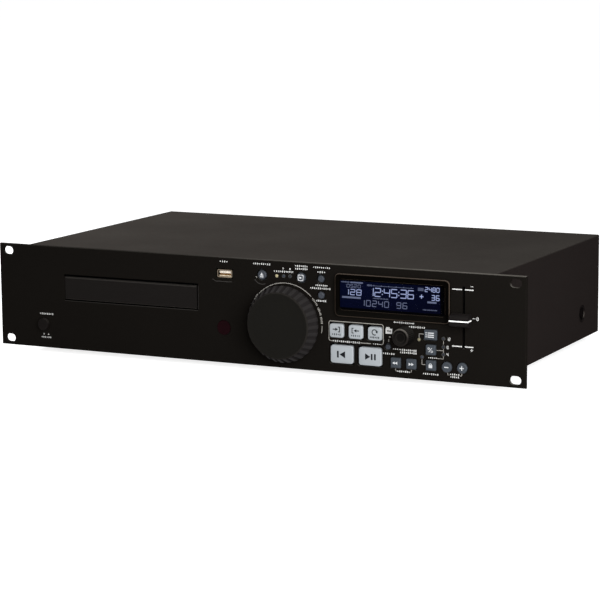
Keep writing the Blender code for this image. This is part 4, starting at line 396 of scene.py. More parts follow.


# screen colour, roughness, specular, tone shift, cloud scale, grain scale, roughness shift, pale up-facing tone
# (dust and painted highlight), bump, bump depth
PRINT_SURFACE = (0.6, 0.0, 0.04, 200, 3000, 0.05, 0.0, 0.1, 0.01)
PAINTS = {
    # painted highlight on the lip round the jog wheel's face
    "jog_lip_highlight": (34, 32, 30, 0.6, 0.0, 0.05, 60, 2600, 0.05, 0.0, 0.25, 0.02),
    "jog_rubber": (36, 34, 34, 0.6, 0.03, 0.05, 60, 2600, 0.05, 0.05, 0.25, 0.02),
    # painted shade in the jog wheel's grooves
    "jog_groove_shade": (31, 29, 29, 0.6, 0.0, 0.05, 60, 2600, 0.05, 0.02, 0.25, 0.02),
    "jog_face": (25, 24, 22, 0.6, 0.0, 0.04, 40, 2600, 0.04, 0.02, 0.2, 0.015),
    "knob_plastic": (17, 16, 15, 0.5, 0.0, 0.04, 90, 2600, 0.06, 0.2, 0.15, 0.01),
    # painted highlights on the knob's rim and on a ring of its face
    "knob_rim_highlight": (29, 26, 24, 0.4, 0.02, 0.05, 90, 2600, 0.06, 2.0, 0.15, 0.01),
    "knob_ring": (28, 26, 24, 0.4, 0.0, 0.05, 90, 2600, 0.06, 0.2, 0.15, 0.01),
    "blue_grey_key": (53, 57, 64, 0.45, 0.2, 0.05, 120, 1800, 0.05, 0.2, 0.15, 0.01),
    "fader_body": (13, 13, 14, 0.6, 0.02, 0.05),
    "power_key": (17, 14, 13, 0.45, 0.03, 0.05, 60, 1800, 0.05, 0.3, 0.2, 0.02),
    "grey_print": (156, 153, 147, *PRINT_SURFACE),
    # faint painted highlights on the panel's moulded dishes
    "dim_print": (62, 60, 58, *PRINT_SURFACE),
    "dark_print": (30, 31, 34, *PRINT_SURFACE),
    "key_sign": (198, 200, 202, *PRINT_SURFACE),
    "white_line": (246, 246, 244, 0.5, 0.1, 0.02, 200, 3000, 0.03, 0.0, 0.1, 0.01),
    # painted highlights on the door's slope and lip and on the tray opening's edges
    "door_slope": (46, 44, 42, 0.5, 0.0, 0.05, 60, 2200, 0.04, 0.2, 0.2, 0.015),
    "door_lip_highlight": (52, 49, 46, 0.5, 0.0, 0.05, 60, 2200, 0.04, 0.2, 0.2, 0.015),
    "door_plastic": (27, 25, 24, 0.55, 0.0, 0.04, 40, 2200, 0.04, 0.8, 0.2, 0.015),
    "bezel_plastic": (6, 5, 4, 0.42, 0.0, 0.04, 50, 2200, 0.04, 0.1, 0.15, 0.015),
    # painted highlight on the display frame's rim
    "bezel_rim": (58, 50, 43, 0.5, 0.0, 0.06, 50, 2200, 0.04, 0.4, 0.15, 0.015),
    "tray_plastic": (30, 30, 31, 0.55, 0.15, 0.05, 45, 1800, 0.06, 0.02, 0.3, 0.03),
    "drive_plastic": (48, 48, 50, 0.55, 0.3, 0.05, 45, 1500, 0.05, 0.05, 0.3, 0.03),
    "black_plastic": (24, 24, 25, 0.45, 0.15, 0.05, 60, 1800, 0.05, 0.0, 0.2, 0.02),
    "gear_plastic": (206, 202, 190, 0.45, 0.35, 0.03, 90, 1500, 0.05, 0.0, 0.1, 0.01),
    "foot_rubber": (26, 26, 26, 0.85, 0.05, 0.08, 90, 900, 0.05, 0.1, 0.5, 0.05),
    "port_tongue": (226, 216, 202, 0.5, 0.2, 0.03, 90, 1500, 0.05, 0.0, 0.1, 0.01),
    "port_spring": (206, 192, 168, 0.35, 0.4, 0.05, 200, 1500, 0.05, 0.3, 0.1, 0.01),
    "ring_white": (200, 197, 188, 0.4, 0.3, 0.03, 90, 1500, 0.05, 0.0, 0.1, 0.01),
    "ring_red": (132, 24, 22, 0.4, 0.3, 0.05, 90, 1500, 0.05, 0.0, 0.1, 0.01),
    "ring_amber": (176, 100, 34, 0.4, 0.3, 0.05, 90, 1500, 0.05, 0.0, 0.1, 0.01),
    # near-black paint for painted shade
    "hollow_black": (2, 2, 2, 0.9, 0.0, 0.05),
    "light_off": (38, 40, 48, 0.35, 0.05, 0.04, 200, 900),
    "light_pipe": (60, 60, 58, 0.35, 0.15, 0.03, 200, 900),
    "infrared_red": (21, 4, 7, 0.3, 0.02, 0.25, 260, 900, 0.04, 0.0, 0.02, 0.01),
    "display_ground_off": (4, 4, 6.6, 0.5, 0.0, 0.05),
}
# screen colour, roughness, line scale along each axis, tone shift, bump
METALS = {
    "zinc_steel": (168, 170, 172, 0.42, (30, 700, 700)),
    "base_steel": (66, 64, 62, 0.5, (30, 700, 700)),
    "frame_steel": (150, 152, 154, 0.45, (700, 30, 700)),
    "nickel_plate": (196, 188, 168, 0.24, (60, 400, 400), 0.2, 0.05),
    "port_shell": (126, 114, 99, 0.30, (60, 400, 400), 0.2, 0.05),
    "screw_steel": (58, 52, 50, 0.28, (500, 500, 500), 0.25, 0.08),
    "contact_gold": (112, 82, 48, 0.35, (500, 60, 500), 0.2, 0.05),
    "lamination_steel": (96, 94, 92, 0.5, (20, 20, 2600), 0.5, 0.5),
}
# screen colours of the light and of the dome, and strength
LIT_DOMES = {"light_cream": ((214, 202, 160), (120, 113, 88), 0.28),
             "light_amber": ((200, 190, 150), (92, 87, 70), 0.14),
             "light_blue": ((52, 60, 80), (34, 39, 52), 0.1)}


def make_materials(colours):
    """All the finishes, named for what they cover."""
    GROUPS.update(surface=surface_group(), metal=brushed_group(), rub=worn_and_lit_edge_group())
    for name, (red, green, blue, *surface) in PAINTS.items():
        painted(name, srgb(red, green, blue), *surface)
    for name, (red, green, blue, *surface) in METALS.items():
        metal(name, srgb(red, green, blue), *surface)
    for name, (light, dome, strength) in LIT_DOMES.items():
        lit(name, srgb(*light), strength, srgb(*dome), 400.0, 0.15)
    # painted highlight on the panel's up-facing top edge, stronger towards the right end
    panel, _ = painted("panel_paint", tuple(colours.panel), 0.6, 0.0, 0.05, 25.0, 2200.0, 0.04, 0.0, 0.3, 0.02)
    feed(panel, {"Dust And Highlight": ramp(along(coords(panel.id_data), "X"), -0.12, 0.20, 0.3, 2.2)})
    painted("case_paint", tuple(colours.cover), 0.75, 0.0, 0.05, 12.0, 1500.0, 0.05, 0.55, 0.4, 0.04)
    painted("pale_key", tuple(colours.pale_key), 0.5, 0.2, 0.02, 80.0, 1800.0, 0.03, 0.0, 0.1, 0.01)
    painted("slate_key", tuple(colours.slate_key), 0.5, 0.1, 0.05, 120.0, 1800.0, 0.05, 0.15, 0.15, 0.01)
    painted("marks_print", tuple(colours.marks), *PRINT_SURFACE)
    # the fader cap's corners get a pale tone that is partly wear, partly painted highlight
    cap, shader = painted("fader_plastic", srgb(17, 15, 15), 0.5, 0.04, 0.06, 90.0, 2600.0, 0.06, 0.02, 0.2, 0.015)
    edge_lit = placed(cap.id_data, "rub", {"Colour": Term(cap, "Colour"), "Edge Colour": srgb(56, 50, 46),
                                         "Amount": 0.25})
    feed(shader, {"Base Color": Term(edge_lit)})
    _, window = painted("display_glass", srgb(5, 5, 6), 0.08, 0.0, 0.02, 60.0, 400.0, 0.05, 0.0, 0.0)
    feed(window, {"Alpha": 0.12})
    lit("display_segment", tuple(colours.segments), 1.0, (0.001, 0.001, 0.002), 500.0, 0.15)
    lit("display_segment_dim", times(colours.segments, 0.7), 0.52, (0.001, 0.001, 0.002), 500.0, 0.3)
    display_glow("display_ground", tuple(colours.glow))
    circuit_board("solder_mask")
    # painted shade in the screw dimples with a pale painted highlight crescent, and painted shade and highlight on
    # the screw heads
    painted_shade_and_highlight("dimple_paint", 5.6, 7.4, srgb(13, 11, 11), srgb(84, 78, 73))
    painted_shade_and_highlight("cover_screw", 0.6, 2.2, srgb(11, 9, 9), srgb(112, 106, 100))


SCREWS = tuple(f"{side}_{end}_cover_screw" for side in ("left", "right") for end in ("front", "rear"))
PALE_KEYS = ("loop_in_button", "loop_out_button", "reloop_button", "cue_button", "play_button")
SQUARE_KEYS = ("rewind_button", "forward_button", "database_button", "percent_button", "key_lock_button")
BLUE_GREY_KEYS = ("eject_button", "source_button", "time_button", "menu_button", "folder_button")
ROUND_KEYS = BLUE_GREY_KEYS + ("minus_button", "plus_button")
NODE_FINISHES = {
    "panel_paint": ("front_panel",), "case_paint": ("top_cover", "rear_panel"), "base_steel": ("base_chassis",),
    "foot_rubber": ("front_left_foot", "front_right_foot", "rear_left_foot", "rear_right_foot"),
    "screw_steel": SCREWS, "door_plastic": ("tray_door",), "tray_plastic": ("disc_tray",),
    "gear_plastic": ("tray_pinion",), "frame_steel": ("clamp_bridge",),
    "drive_plastic": ("drive_frame", "power_switch"), "black_plastic": ("clamp_puck", "turntable", "mains_inlet"),
    "zinc_steel": ("tray_motor", "spindle_motor", "jog_encoder", "track_encoder"),
    "nickel_plate": ("laser_sled", "audio_output_sockets"), "bezel_plastic": ("display_bezel",),
    "display_glass": ("display_window",), "solder_mask": ("display_module", "control_board", "main_board"),
    "infrared_red": ("infrared_window",), "port_shell": ("usb_socket",),
    "light_pipe": ("source_light_pipe", "pitch_range_light_pipe", "status_light_pipe"),
    "lamination_steel": ("mains_transformer",), "jog_rubber": ("jog_wheel",), "knob_plastic": ("track_knob",),
    "fader_body": ("pitch_fader",), "fader_plastic": ("pitch_fader_cap",), "power_key": ("power_button",),
    "pale_key": PALE_KEYS, "slate_key": SQUARE_KEYS + ROUND_KEYS,
}


# ---------------------------------------------------------------- mesh helpers

def add_object(name, data):
    item = bpy.data.objects.new(name, data)
    bpy.context.scene.collection.objects.link(item)
    return item


def finish_piece(name, shape, finishes, body="chassis", angle=35.0):
    """Mesh object from a bmesh, with its finishes, that rides on a body."""
    bmesh.ops.recalc_face_normals(shape, faces=shape.faces)
    mesh = bpy.data.meshes.new(name)
    shape.to_mesh(mesh)
    shape.free()
    mesh.shade_smooth()
    mesh.set_sharp_from_angle(angle=math.radians(angle))
    for finish in (finishes if isinstance(finishes, list) else [finishes]):
        mesh.materials.append(MATERIALS[finish])
    piece = add_object(name, mesh)
    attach(piece, body)
    return piece


def merge_into(shape, made, finish):
    """Gives a bmesh its finish's number and puts it into another, or gives it back where there is no other yet."""
    for face in made.faces:
        face.material_index = finish
    if shape is None:
        return made
    mesh = bpy.data.meshes.new("join")
    made.to_mesh(mesh)
    made.free()
    shape.from_mesh(mesh)
    bpy.data.meshes.remove(mesh)
    return shape


def set_up(shape, place, turn=FACING):
    """Turns a shape made about the origin and carries it to its place."""
    bmesh.ops.transform(shape, matrix=Matrix.Translation(place) @ turn, verts=shape.verts)


def bevel(shape, edges, offset, segments):
    bmesh.ops.bevel(shape, geom=edges, offset=offset * MM, offset_type="OFFSET", segments=segments, profile=0.5,
                    affect="EDGES", material=-1)


def extrude(shape, faces, move, closed=False):
    """Carries faces along by a vector in millimetres; a closed one keeps them at its other end too."""
    made = bmesh.ops.extrude_face_region(shape, geom=faces, use_keep_orig=closed)
    verts = [part for part in made["geom"] if isinstance(part, bmesh.types.BMVert)]
    bmesh.ops.translate(shape, vec=Vector(move) * MM, verts=verts)
    if not closed:
        bmesh.ops.delete(shape, geom=faces, context="FACES")


def spun(profile, steps, centre, turn=FACING, shape=None, finish=0):
    """Profile of (radius, height) in millimetres spun about its axis, closed at its poles."""
    made = bmesh.new()
    verts = [made.verts.new((radius * MM, 0.0, height * MM)) for radius, height in profile]
    edges = [made.edges.new(pair) for pair in zip(verts, verts[1:])]
    bmesh.ops.spin(made, geom=verts + edges, axis=(0, 0, 1), cent=(0, 0, 0), angle=2 * math.pi, steps=steps,
                   use_merge=True, use_duplicate=False)
    bmesh.ops.remove_doubles(made, verts=made.verts, dist=0.001 * MM)
    bmesh.ops.recalc_face_normals(made, faces=made.faces)
    set_up(made, centre, turn)
    return merge_into(shape, made, finish)


def block(size, centre, corner=0.0, rim=0.0, steps=4, rim_steps=3, shape=None, finish=0, rim_side=-1):
    """Block, sizes in millimetres, with rounded edges along its depth and a rounded rim at its front."""
    made = bmesh.new()
    bmesh.ops.create_cube(made, size=1.0)
    bmesh.ops.scale(made, vec=Vector(size) * MM, verts=made.verts)
    half = size[1] * MM / 2
    if corner:
        bevel(made, [edge for edge in made.edges if abs(edge.verts[0].co.y - edge.verts[1].co.y) > half], corner,
              steps)
    if rim:
        bevel(made, [edge for edge in made.edges if all(rim_side * vert.co.y > half * 0.98 for vert in edge.verts)],
              rim, rim_steps)
    bmesh.ops.translate(made, vec=centre, verts=made.verts)
    return merge_into(shape, made, finish)


def blocks(sizes_and_places, **roundings):
    """Several blocks in one shape."""
    shape = None
    for size, place in sizes_and_places:
        shape = block(size, at(*place), shape=shape, **roundings)
    return shape


def cut_ribs(shape, ribs, depth, inner, foot, top, foot_fade=0.1, top_fade=0.1, sharpness=1.0):
    """Grooves round a spun shape, outside a radius and between two heights in millimetres, where they fade."""
    for vert in shape.verts:
        radius, height = math.hypot(vert.co.x, vert.co.y), vert.co.z / MM
        if radius > inner * MM and foot < height < top:
            wave = 0.5 - 0.5 * math.cos(ribs * math.atan2(vert.co.y, vert.co.x))
            fade = min(1.0, (top - height) / top_fade) * min(1.0, (height - foot) / foot_fade)
            scale = 1.0 - depth * wave ** sharpness * fade / radius
            vert.co.x *= scale
            vert.co.y *= scale


SEVEN_STROKES = {"0": "abcdef", "1": "bc", "2": "abged", "3": "abgcd", "4": "fgbc", "5": "afgcd", "6": "afgecd",
                 "7": "abc", "8": "abcdefg", "9": "abcdfg", " ": ""}


class Marks:
    """Flat marks in one plane, made into a thin raised print."""

    def __init__(self):
        self.shape = bmesh.new()

    def draw(self, rows, x=0.0, z=0.0):
        """Marks from rows of a kind, its step from a place across and up, and its other values."""
        for kind, across, rise, *values in rows:
            getattr(self, kind)(x + across, z + rise, *values)
        return self

    def put(self, verts, x, z, turn=0.0):
        move = Matrix.Translation((x * MM, z * MM, 0.0)) @ Matrix.Rotation(turn, 4, "Z")
        bmesh.ops.transform(self.shape, matrix=move, verts=verts)

    def bar(self, x, z, width, height, turn=0.0):
        made = bmesh.ops.create_grid(self.shape, x_segments=1, y_segments=1, size=0.5)
        bmesh.ops.scale(self.shape, vec=(width * MM, height * MM, 1.0), verts=made["verts"])
        self.put(made["verts"], x, z, turn)

    def dot(self, x, z, radius, sides, turn=0.0):
        made = bmesh.ops.create_circle(self.shape, cap_ends=True, segments=sides, radius=radius * MM)
        self.put(made["verts"], x, z, turn)

    def wedge(self, x, z, size, turn=RIGHT):
        """Triangle that points to the right, or where it is turned to."""
        self.dot(x, z, size, 3, turn - math.pi / 2)

    def arc(self, x, z, radius, line, start, end, steps):
        """Ring or part of one, between two angles in degrees."""
        before = set(self.shape.verts)
        ends = [self.shape.verts.new(((radius + side * line / 2) * MM, 0.0, 0.0)) for side in (-1, 1)]
        bmesh.ops.spin(self.shape, geom=[*ends, self.shape.edges.new(ends)], axis=(0, 0, 1), cent=(0, 0, 0),
                       angle=math.radians(end - start), steps=steps, use_merge=end - start >= 360)
        self.put([vert for vert in self.shape.verts if vert not in before], x, z, math.radians(start))

    def outline(self, x, z, width, height, line, corner, open_below=False):
        """Frame with round corners, and without its lower line where it is open below."""
        for side_x, side_z, start in ((1, 1, 0), (-1, 1, 90), (-1, -1, 180), (1, -1, 270)):
            self.arc(x + side_x * (width / 2 - corner), z + side_z * (height / 2 - corner), corner, line,
                     start, start + 90, 6)
        for side in (-1, 1):
            if side > 0 or not open_below:
                self.bar(x, z + side * height / 2, width - 2 * corner, line)
            self.bar(x + side * width / 2, z, line, height - 2 * corner)

    def arc_ticks(self, x, z, radius, start, end, height, pitch=1.15, line=0.7):
        """Fine ticks that stand across an arc, in groups of six."""
        count = int(math.radians(abs(end - start)) * radius / pitch)
        for index in range(count + 1):
            angle = math.radians(start + (end - start) * index / count)
            if index % 7 != 6:
                self.bar(x + radius * math.cos(angle), z + radius * math.sin(angle), line,
                         height * (1.0 if index % 3 else 0.7), angle - math.pi / 2)

    def ticks(self, x, z, width, height, pitch=1.72, line=0.82):
        """Fine upright ticks, every third one shorter."""
        count = max(2, round(width / pitch) + 1)
        for index in range(count):
            self.bar(x + (index / (count - 1) - 0.5) * width, z, line, height * (1.0 if index % 3 else 0.65))

    def number(self, x, z, text, height, line, width=0.58, gap=0.24, slant=0.0):
        """Plain numbers from seven strokes, centred on a place; width and gap are shares of the height."""
        wide, half = height * width, height / 2
        strokes = {"a": (0, half, 0), "g": (0, 0, 0), "d": (0, -half, 0), "b": (wide / 2, half / 2, 1),
                   "c": (wide / 2, -half / 2, 1), "f": (-wide / 2, half / 2, 1), "e": (-wide / 2, -half / 2, 1)}
        steps = [wide * (0.05 if sign == ":" else 1.0) + height * gap for sign in text]
        left = x - sum(steps) / 2
        for sign, step in zip(text, steps):
            left += step
            middle = left - step / 2
            if sign == ":":
                for level in (-1, 1):
                    self.bar(middle, z + level * height * 0.2, line * 1.2, line * 1.2)
                continue
            for dx, dz, upright in (strokes[key] for key in SEVEN_STROKES[sign]):
                size = (line, half - line * 0.35) if upright else (wide - line * 0.2, line)
                self.bar(middle + dx + slant * dz, z + dz, *size, -slant if upright else 0.0)

    def done(self, name, finish, y, depth=PRINT_DEPTH, body="chassis", turn=0.0):
        """The marks as a thin closed skin whose back is at y in the frame, turned about the vertical."""
        bmesh.ops.recalc_face_normals(self.shape, faces=self.shape.faces)
        flipped = [face for face in self.shape.faces if face.normal.z < 0]
        if flipped:
            bmesh.ops.reverse_faces(self.shape, faces=flipped)
        bmesh.ops.solidify(self.shape, geom=self.shape.faces[:], thickness=-depth * MM)
        low = min(vert.co.z for vert in self.shape.verts)
        set_up(self.shape, (0.0, y, PANEL_FOOT_Z),
               Matrix.Rotation(turn, 4, "Z") @ FACING @ Matrix.Translation((0, 0, -low)))
        finish_piece(name, self.shape, finish, body)


# ---------------------------------------------------------------- operators

class PieceOperator:
    """What every operator here shares"""
    bl_options = {"REGISTER", "UNDO"}

    @property
    def sizes(self):
        return bpy.context.scene.player_sizes


class MEDIA_OT_finishes(PieceOperator, bpy.types.Operator):
    """Give every carried-over node its finish"""
    bl_idname = "media_player.finishes"
    bl_label = "Finishes"

    def execute(self, context):
        make_materials(context.scene.player_colours)
        for finish, nodes in NODE_FINISHES.items():
            for node in nodes:
                NODES[node].data.materials.clear()
                NODES[node].data.materials.append(MATERIALS[finish])
        return {"FINISHED"}


# radius and height in millimetres
JOG_PROFILE = (
    (0.0, 14.75), (22.0, 14.75), (24.2, 14.8), (25.6, 14.92), (26.4, 14.98), (27.0, 14.85), (27.45, 14.5),
    (27.65, 14.0), (28.3, 12.9), (29.0, 11.4), (29.8, 9.7), (30.6, 8.1), (31.3, 6.9), (31.6, 6.3), (31.7, 5.2),
    (31.5, 4.2), (31.0, 2.6), (30.4, 1.5), (29.8, 0.9), (28.8, 0.6), (7.0, 0.6), (7.0, -5.0), (3.3, -5.0),
    (3.3, 10.0), (0.0, 10.0))
JOG_FLAT_RADIUS = 26.1
KNOB_PROFILE = (
    (0.0, 11.9), (2.5, 11.95), (3.4, 12.05), (4.1, 12.2), (5.0, 12.5), (5.5, 12.85), (5.7, 12.97), (5.9, 13.0),
    (6.2, 12.9), (6.7, 12.5), (7.05, 12.0), (7.2, 11.4), (7.35, 9.0), (7.45, 5.0), (7.55, 2.6), (7.6, 1.4),
    (7.5, 0.8), (7.2, 0.6), (3.0, 0.6), (3.0, 9.6), (0.0, 9.6))
KNOB_RIB_DEPTH = 0.28


class MEDIA_OT_jog_wheel(PieceOperator, bpy.types.Operator):
    """Jog wheel with a plain face and a ribbed grip; darker grooves are painted shade and a paler lip round the face
    is painted highlight
    """
    bl_idname = "media_player.jog_wheel"
    bl_label = "Jog wheel"

    def execute(self, context):
        x, z, *_ = extent("jog_wheel")
        ribs = self.sizes.jog_ribs
        shape = spun(JOG_PROFILE, ribs * 8, ORIGIN, LYING)
        cut_ribs(shape, ribs, self.sizes.jog_rib_depth, inner=27.2, foot=1.2, top=14.9, foot_fade=6.0,
                 top_fade=1.5, sharpness=1.3)
        # grooves take a darker finish as painted shade, the lip round the face a paler one as painted highlight
        for face in shape.faces:
            middle = face.calc_center_median() / MM
            flat = face.normal.z > 0.97 and math.hypot(middle.x, middle.y) < JOG_FLAT_RADIUS
            groove = math.cos(ribs * math.atan2(middle.y, middle.x)) < -0.3 and 3.0 < middle.z < 14.3
            face.material_index = 1 if flat else 3 if middle.z > 14.0 else 2 if groove else 0
        set_up(shape, at(x, z))
        wheel = finish_piece("jog_wheel_detail", shape, ["jog_rubber", "jog_face", "jog_groove_shade", "jog_lip_highlight"],
                             "jog", 50.0)
        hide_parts("jog_wheel")
        return {"FINISHED"}


class MEDIA_OT_track_knob(PieceOperator, bpy.types.Operator):
    """Track knob with a dished face and a fine ribbed side; a paler rim and a paler ring on the face are painted
    highlights
    """
    bl_idname = "media_player.track_knob"
    bl_label = "Track knob"

    def execute(self, context):
        x, z, *_ = extent("track_knob")
        ribs = self.sizes.knob_ribs
        shape = spun(KNOB_PROFILE, ribs * 6, ORIGIN, LYING)
        cut_ribs(shape, ribs, KNOB_RIB_DEPTH * MM, inner=6.9, foot=2.0, top=11.9)
        # the rim and a ring of the face take paler finishes as painted highlights
        for face in shape.faces:
            middle = face.calc_center_median() / MM
            radius = math.hypot(middle.x, middle.y)
            face.material_index = 0 if middle.z < 11.9 else 1 if radius > 5.8 else 2 if 3.4 < radius < 4.1 else 0
        set_up(shape, at(x, z))
        knob = finish_piece("track_knob_detail", shape, ["knob_plastic", "knob_rim_highlight", "knob_ring"], "track", 50.0)
        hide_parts("track_knob")
        return {"FINISHED"}


class MEDIA_OT_tray_door(PieceOperator, bpy.types.Operator):
    """Tray door with a sloped upper edge and a fine lower lip in pale painted highlight, painted highlights on the
    opening's lower and right edges, and painted shade above and below the door
    """
    bl_idname = "media_player.tray_door"
    bl_label = "Tray door"

    def execute(self, context):
        x, z, width, height, front, back = extent("tray_door")
        shape = block((width - 1.3, front + back, height - 0.5), at(x - 0.65, z + 0.25, (front - back) / 2))
        fore = [edge for edge in shape.edges
                if all(vert.co.y < at(x, z, front).y + 0.1 * MM for vert in edge.verts)]
        for above, offset in ((True, 1.7), (False, 0.6)):
            bevel(shape, [edge for edge in fore if edge.is_valid
                          and all((vert.co.z > at(x, z).z) == above for vert in edge.verts)], offset, 1)
        shape.normal_update()
        # slope and lip faces take pale finishes that paint highlights on them
        for face in shape.faces:
            face.material_index = 1 if 0.3 < face.normal.z < 0.97 else 2 if -0.97 < face.normal.z < -0.3 else 0
        door = finish_piece("tray_door_detail", shape, ["door_plastic", "door_slope", "door_lip_highlight"], "tray", 12.0)
        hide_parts("tray_door")
        edge_z, sill_z, gap_z = 42.05, 42.75, 63.92
        # pale strips paint highlights on the opening's lower and right edges; near-black strips paint the shade
        # above the door and on the sill behind it
        edge = blocks((((width + 0.5, 0.14, 0.42), (x, edge_z, 0.03)),
                       ((0.3, 0.14, height - 1.0), (x + width / 2 + 0.75, z, 0.03))), rim=0.05)
        finish_piece("tray_opening_highlight", edge, "door_slope")
        shade = blocks((((width + 0.9, 0.14, 1.5), (x + 0.2, gap_z, 0.03)), ((width, 1.6, 0.45), (x, sill_z, -1.2))))
        finish_piece("tray_opening_shade", shade, "hollow_black")
        return {"FINISHED"}


class MEDIA_OT_usb_port(PieceOperator, bpy.types.Operator):
    """USB port: plated shell, pale tongue with contacts, and a near-black back wall that paints the cavity's shade
    """
    bl_idname = "media_player.usb_port"
    bl_label = "USB port"

    def execute(self, context):
        x, z, width, height, front, back = extent("usb_socket")
        x, width, height = x + 0.25, width - 0.9, height - 0.4
        depth = 11.5
        shape = block((width, front + back, height), at(x, z, (front - back) / 2), corner=1.1, rim=0.2, steps=5,
                      rim_steps=2)
        mouth = min(shape.faces, key=lambda item: item.calc_center_median().y - item.calc_area())
        bmesh.ops.inset_region(shape, faces=[mouth], thickness=0.45 * MM, depth=0.0)
        extrude(shape, [mouth], (0, depth, 0))
        shell = finish_piece("usb_port_shell", shape, "port_shell", "chassis", 35.0)
        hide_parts("usb_socket")
        tongue = block((11.0, 9.6, 2.1), at(x, z + 1.1, front - 6.2), corner=0.2, rim=0.2)
        finish_piece("usb_port_tongue", tongue, "port_tongue")
        springs = blocks([((5.6, 5.0, 1.1), (x + side * 2.95, z - 2.1, front - 3.4)) for side in (-1, 1)], rim=0.5)
        finish_piece("usb_port_springs", springs, "port_spring")
        strips = blocks([((2.3, 7.6, 1.4), (x + step * 2.6, z - 0.75, front - 5.4))
                         for step in (-1.5, -0.5, 0.5, 1.5)], rim=0.1)
        finish_piece("usb_port_contacts", strips, "contact_gold")
        # near-black back wall: painted shade of the cavity
        wall = block((width - 1.2, 0.3, height - 1.2), at(x, z, front - depth + 0.3), corner=0.3)
        finish_piece("usb_port_back_shade", wall, "hollow_black")
        return {"FINISHED"}


class MEDIA_OT_cover_screws(PieceOperator, bpy.types.Operator):
    """Cover screws with rounded heads and a cross recess, each in a dimple lined with a cup of painted shade and
    highlight
    """
    bl_idname = "media_player.cover_screws"
    bl_label = "Cover screws"

    def execute(self, context):
        for node in SCREWS:
            low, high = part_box(node)
            place = (low + high) / 2
            side = 1 if place.x > 0 else -1
            place.x = high.x if side > 0 else low.x
            turn = Matrix.Rotation(side * math.pi / 2, 4, "Y") @ Matrix.Rotation(math.radians(28), 4, "Z")
            screw = self.screw_shape((high.z - low.z) / 2 / MM)
            set_up(screw, place, turn)
            # the head's finish paints shade on its front and a highlight towards its rear
            screw = finish_piece(f"{node}_detail", screw, "cover_screw", "chassis", 30.0)
            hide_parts(node)
            # a dark cup in the dimple carries painted shade and a painted highlight crescent
            cup = spun([(4.6, -1.5), (4.6, -1.36), (5.6, -1.22), (6.9, -1.05), (7.35, -0.98), (7.5, -1.04),
                        (7.4, -1.1), (6.8, -1.5), (4.6, -1.5)], 56, place, turn)
            finish_piece(f"{node}_dimple_shade", cup, "dimple_paint", "chassis", 40.0)
        return {"FINISHED"}

    def screw_shape(self, radius):
        """Head and shank about the upright axis, with the cross pushed into the head."""
        long, narrow = 2.1, 0.42
        shape = spun([(0.0, 0.0), (radius * 0.55, 0.0), (radius * 0.78, -0.14), (radius * 0.93, -0.45),
                      (radius, -0.9), (radius, -1.5), (2.0, -1.5), (2.0, -9.5), (0.0, -9.5)], 40, ORIGIN, LYING)
        for axis in (Vector((1, 0, 0)), Vector((0, 1, 0))):
            for reach in (-long, -narrow, narrow, long):
                bmesh.ops.bisect_plane(shape, geom=shape.verts[:] + shape.edges[:] + shape.faces[:],
                                       plane_co=axis * reach * MM, plane_no=axis)
        recess = []
        for face in shape.faces:
            spot = face.calc_center_median() / MM
            near, far = sorted((abs(spot.x), abs(spot.y)))
            if spot.z > -0.2 and near < narrow and far < long:
                recess.append(face)
        extrude(shape, recess, (0, 0, -1.0))
        return shape


class MEDIA_OT_fader(PieceOperator, bpy.types.Operator):
    """Pitch fader cap with its white line"""
    bl_idname = "media_player.fader"
    bl_label = "Pitch fader"

    def execute(self, context):
        x, z, *_ = extent("pitch_fader_cap")
        half = 7.9
        lower = [(-5.25, 3.0), (-5.25, 5.6), (-4.9, 6.6), (-3.7, 10.2), (-3.3, 10.8), (-2.7, 11.0), (-0.9, 10.7),
                 (-0.6, 10.95)]
        profile = lower + [(-rise, out) for rise, out in reversed(lower)]
        shape = bmesh.new()
        face = shape.faces.new([shape.verts.new((-half * MM, rise * MM, out * MM)) for rise, out in profile])
        extrude(shape, [face], (2 * half, 0, 0), closed=True)
        bevel(shape, [edge for edge in shape.edges
                      if abs(edge.verts[0].co.x - edge.verts[1].co.x) < 0.01 * MM], 0.35, 2)
        set_up(shape, at(x, z))
        shape = block((1.4, 11.9, 4.0), at(x, z, -2.7), shape=shape)
        cap = finish_piece("pitch_fader_cap_detail", shape, "fader_plastic", "fader", 35.0)
        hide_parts("pitch_fader_cap")
        line = block((15.84, 0.16, 1.05), at(x, z, 10.97), rim=0.05)
        for side in (-1, 1):
            line = block((0.16, half, 1.05), at(x + side * 7.88, z, 7.05), shape=line)
        finish_piece("pitch_fader_line", line, "white_line", "fader")
        return {"FINISHED"}


# how much narrower than its node a key's cap is, and how far right it sits, in millimetres
KEY_PLAY = {"cue_button": (1.6, 0.5), "play_button": (1.6, 0.7), "loop_in_button": (1.1, 0.75),
            "loop_out_button": (1.1, 0.7), "reloop_button": (1.5, 0.8), **dict.fromkeys(BLUE_GREY_KEYS, (1.5, 0.35))}


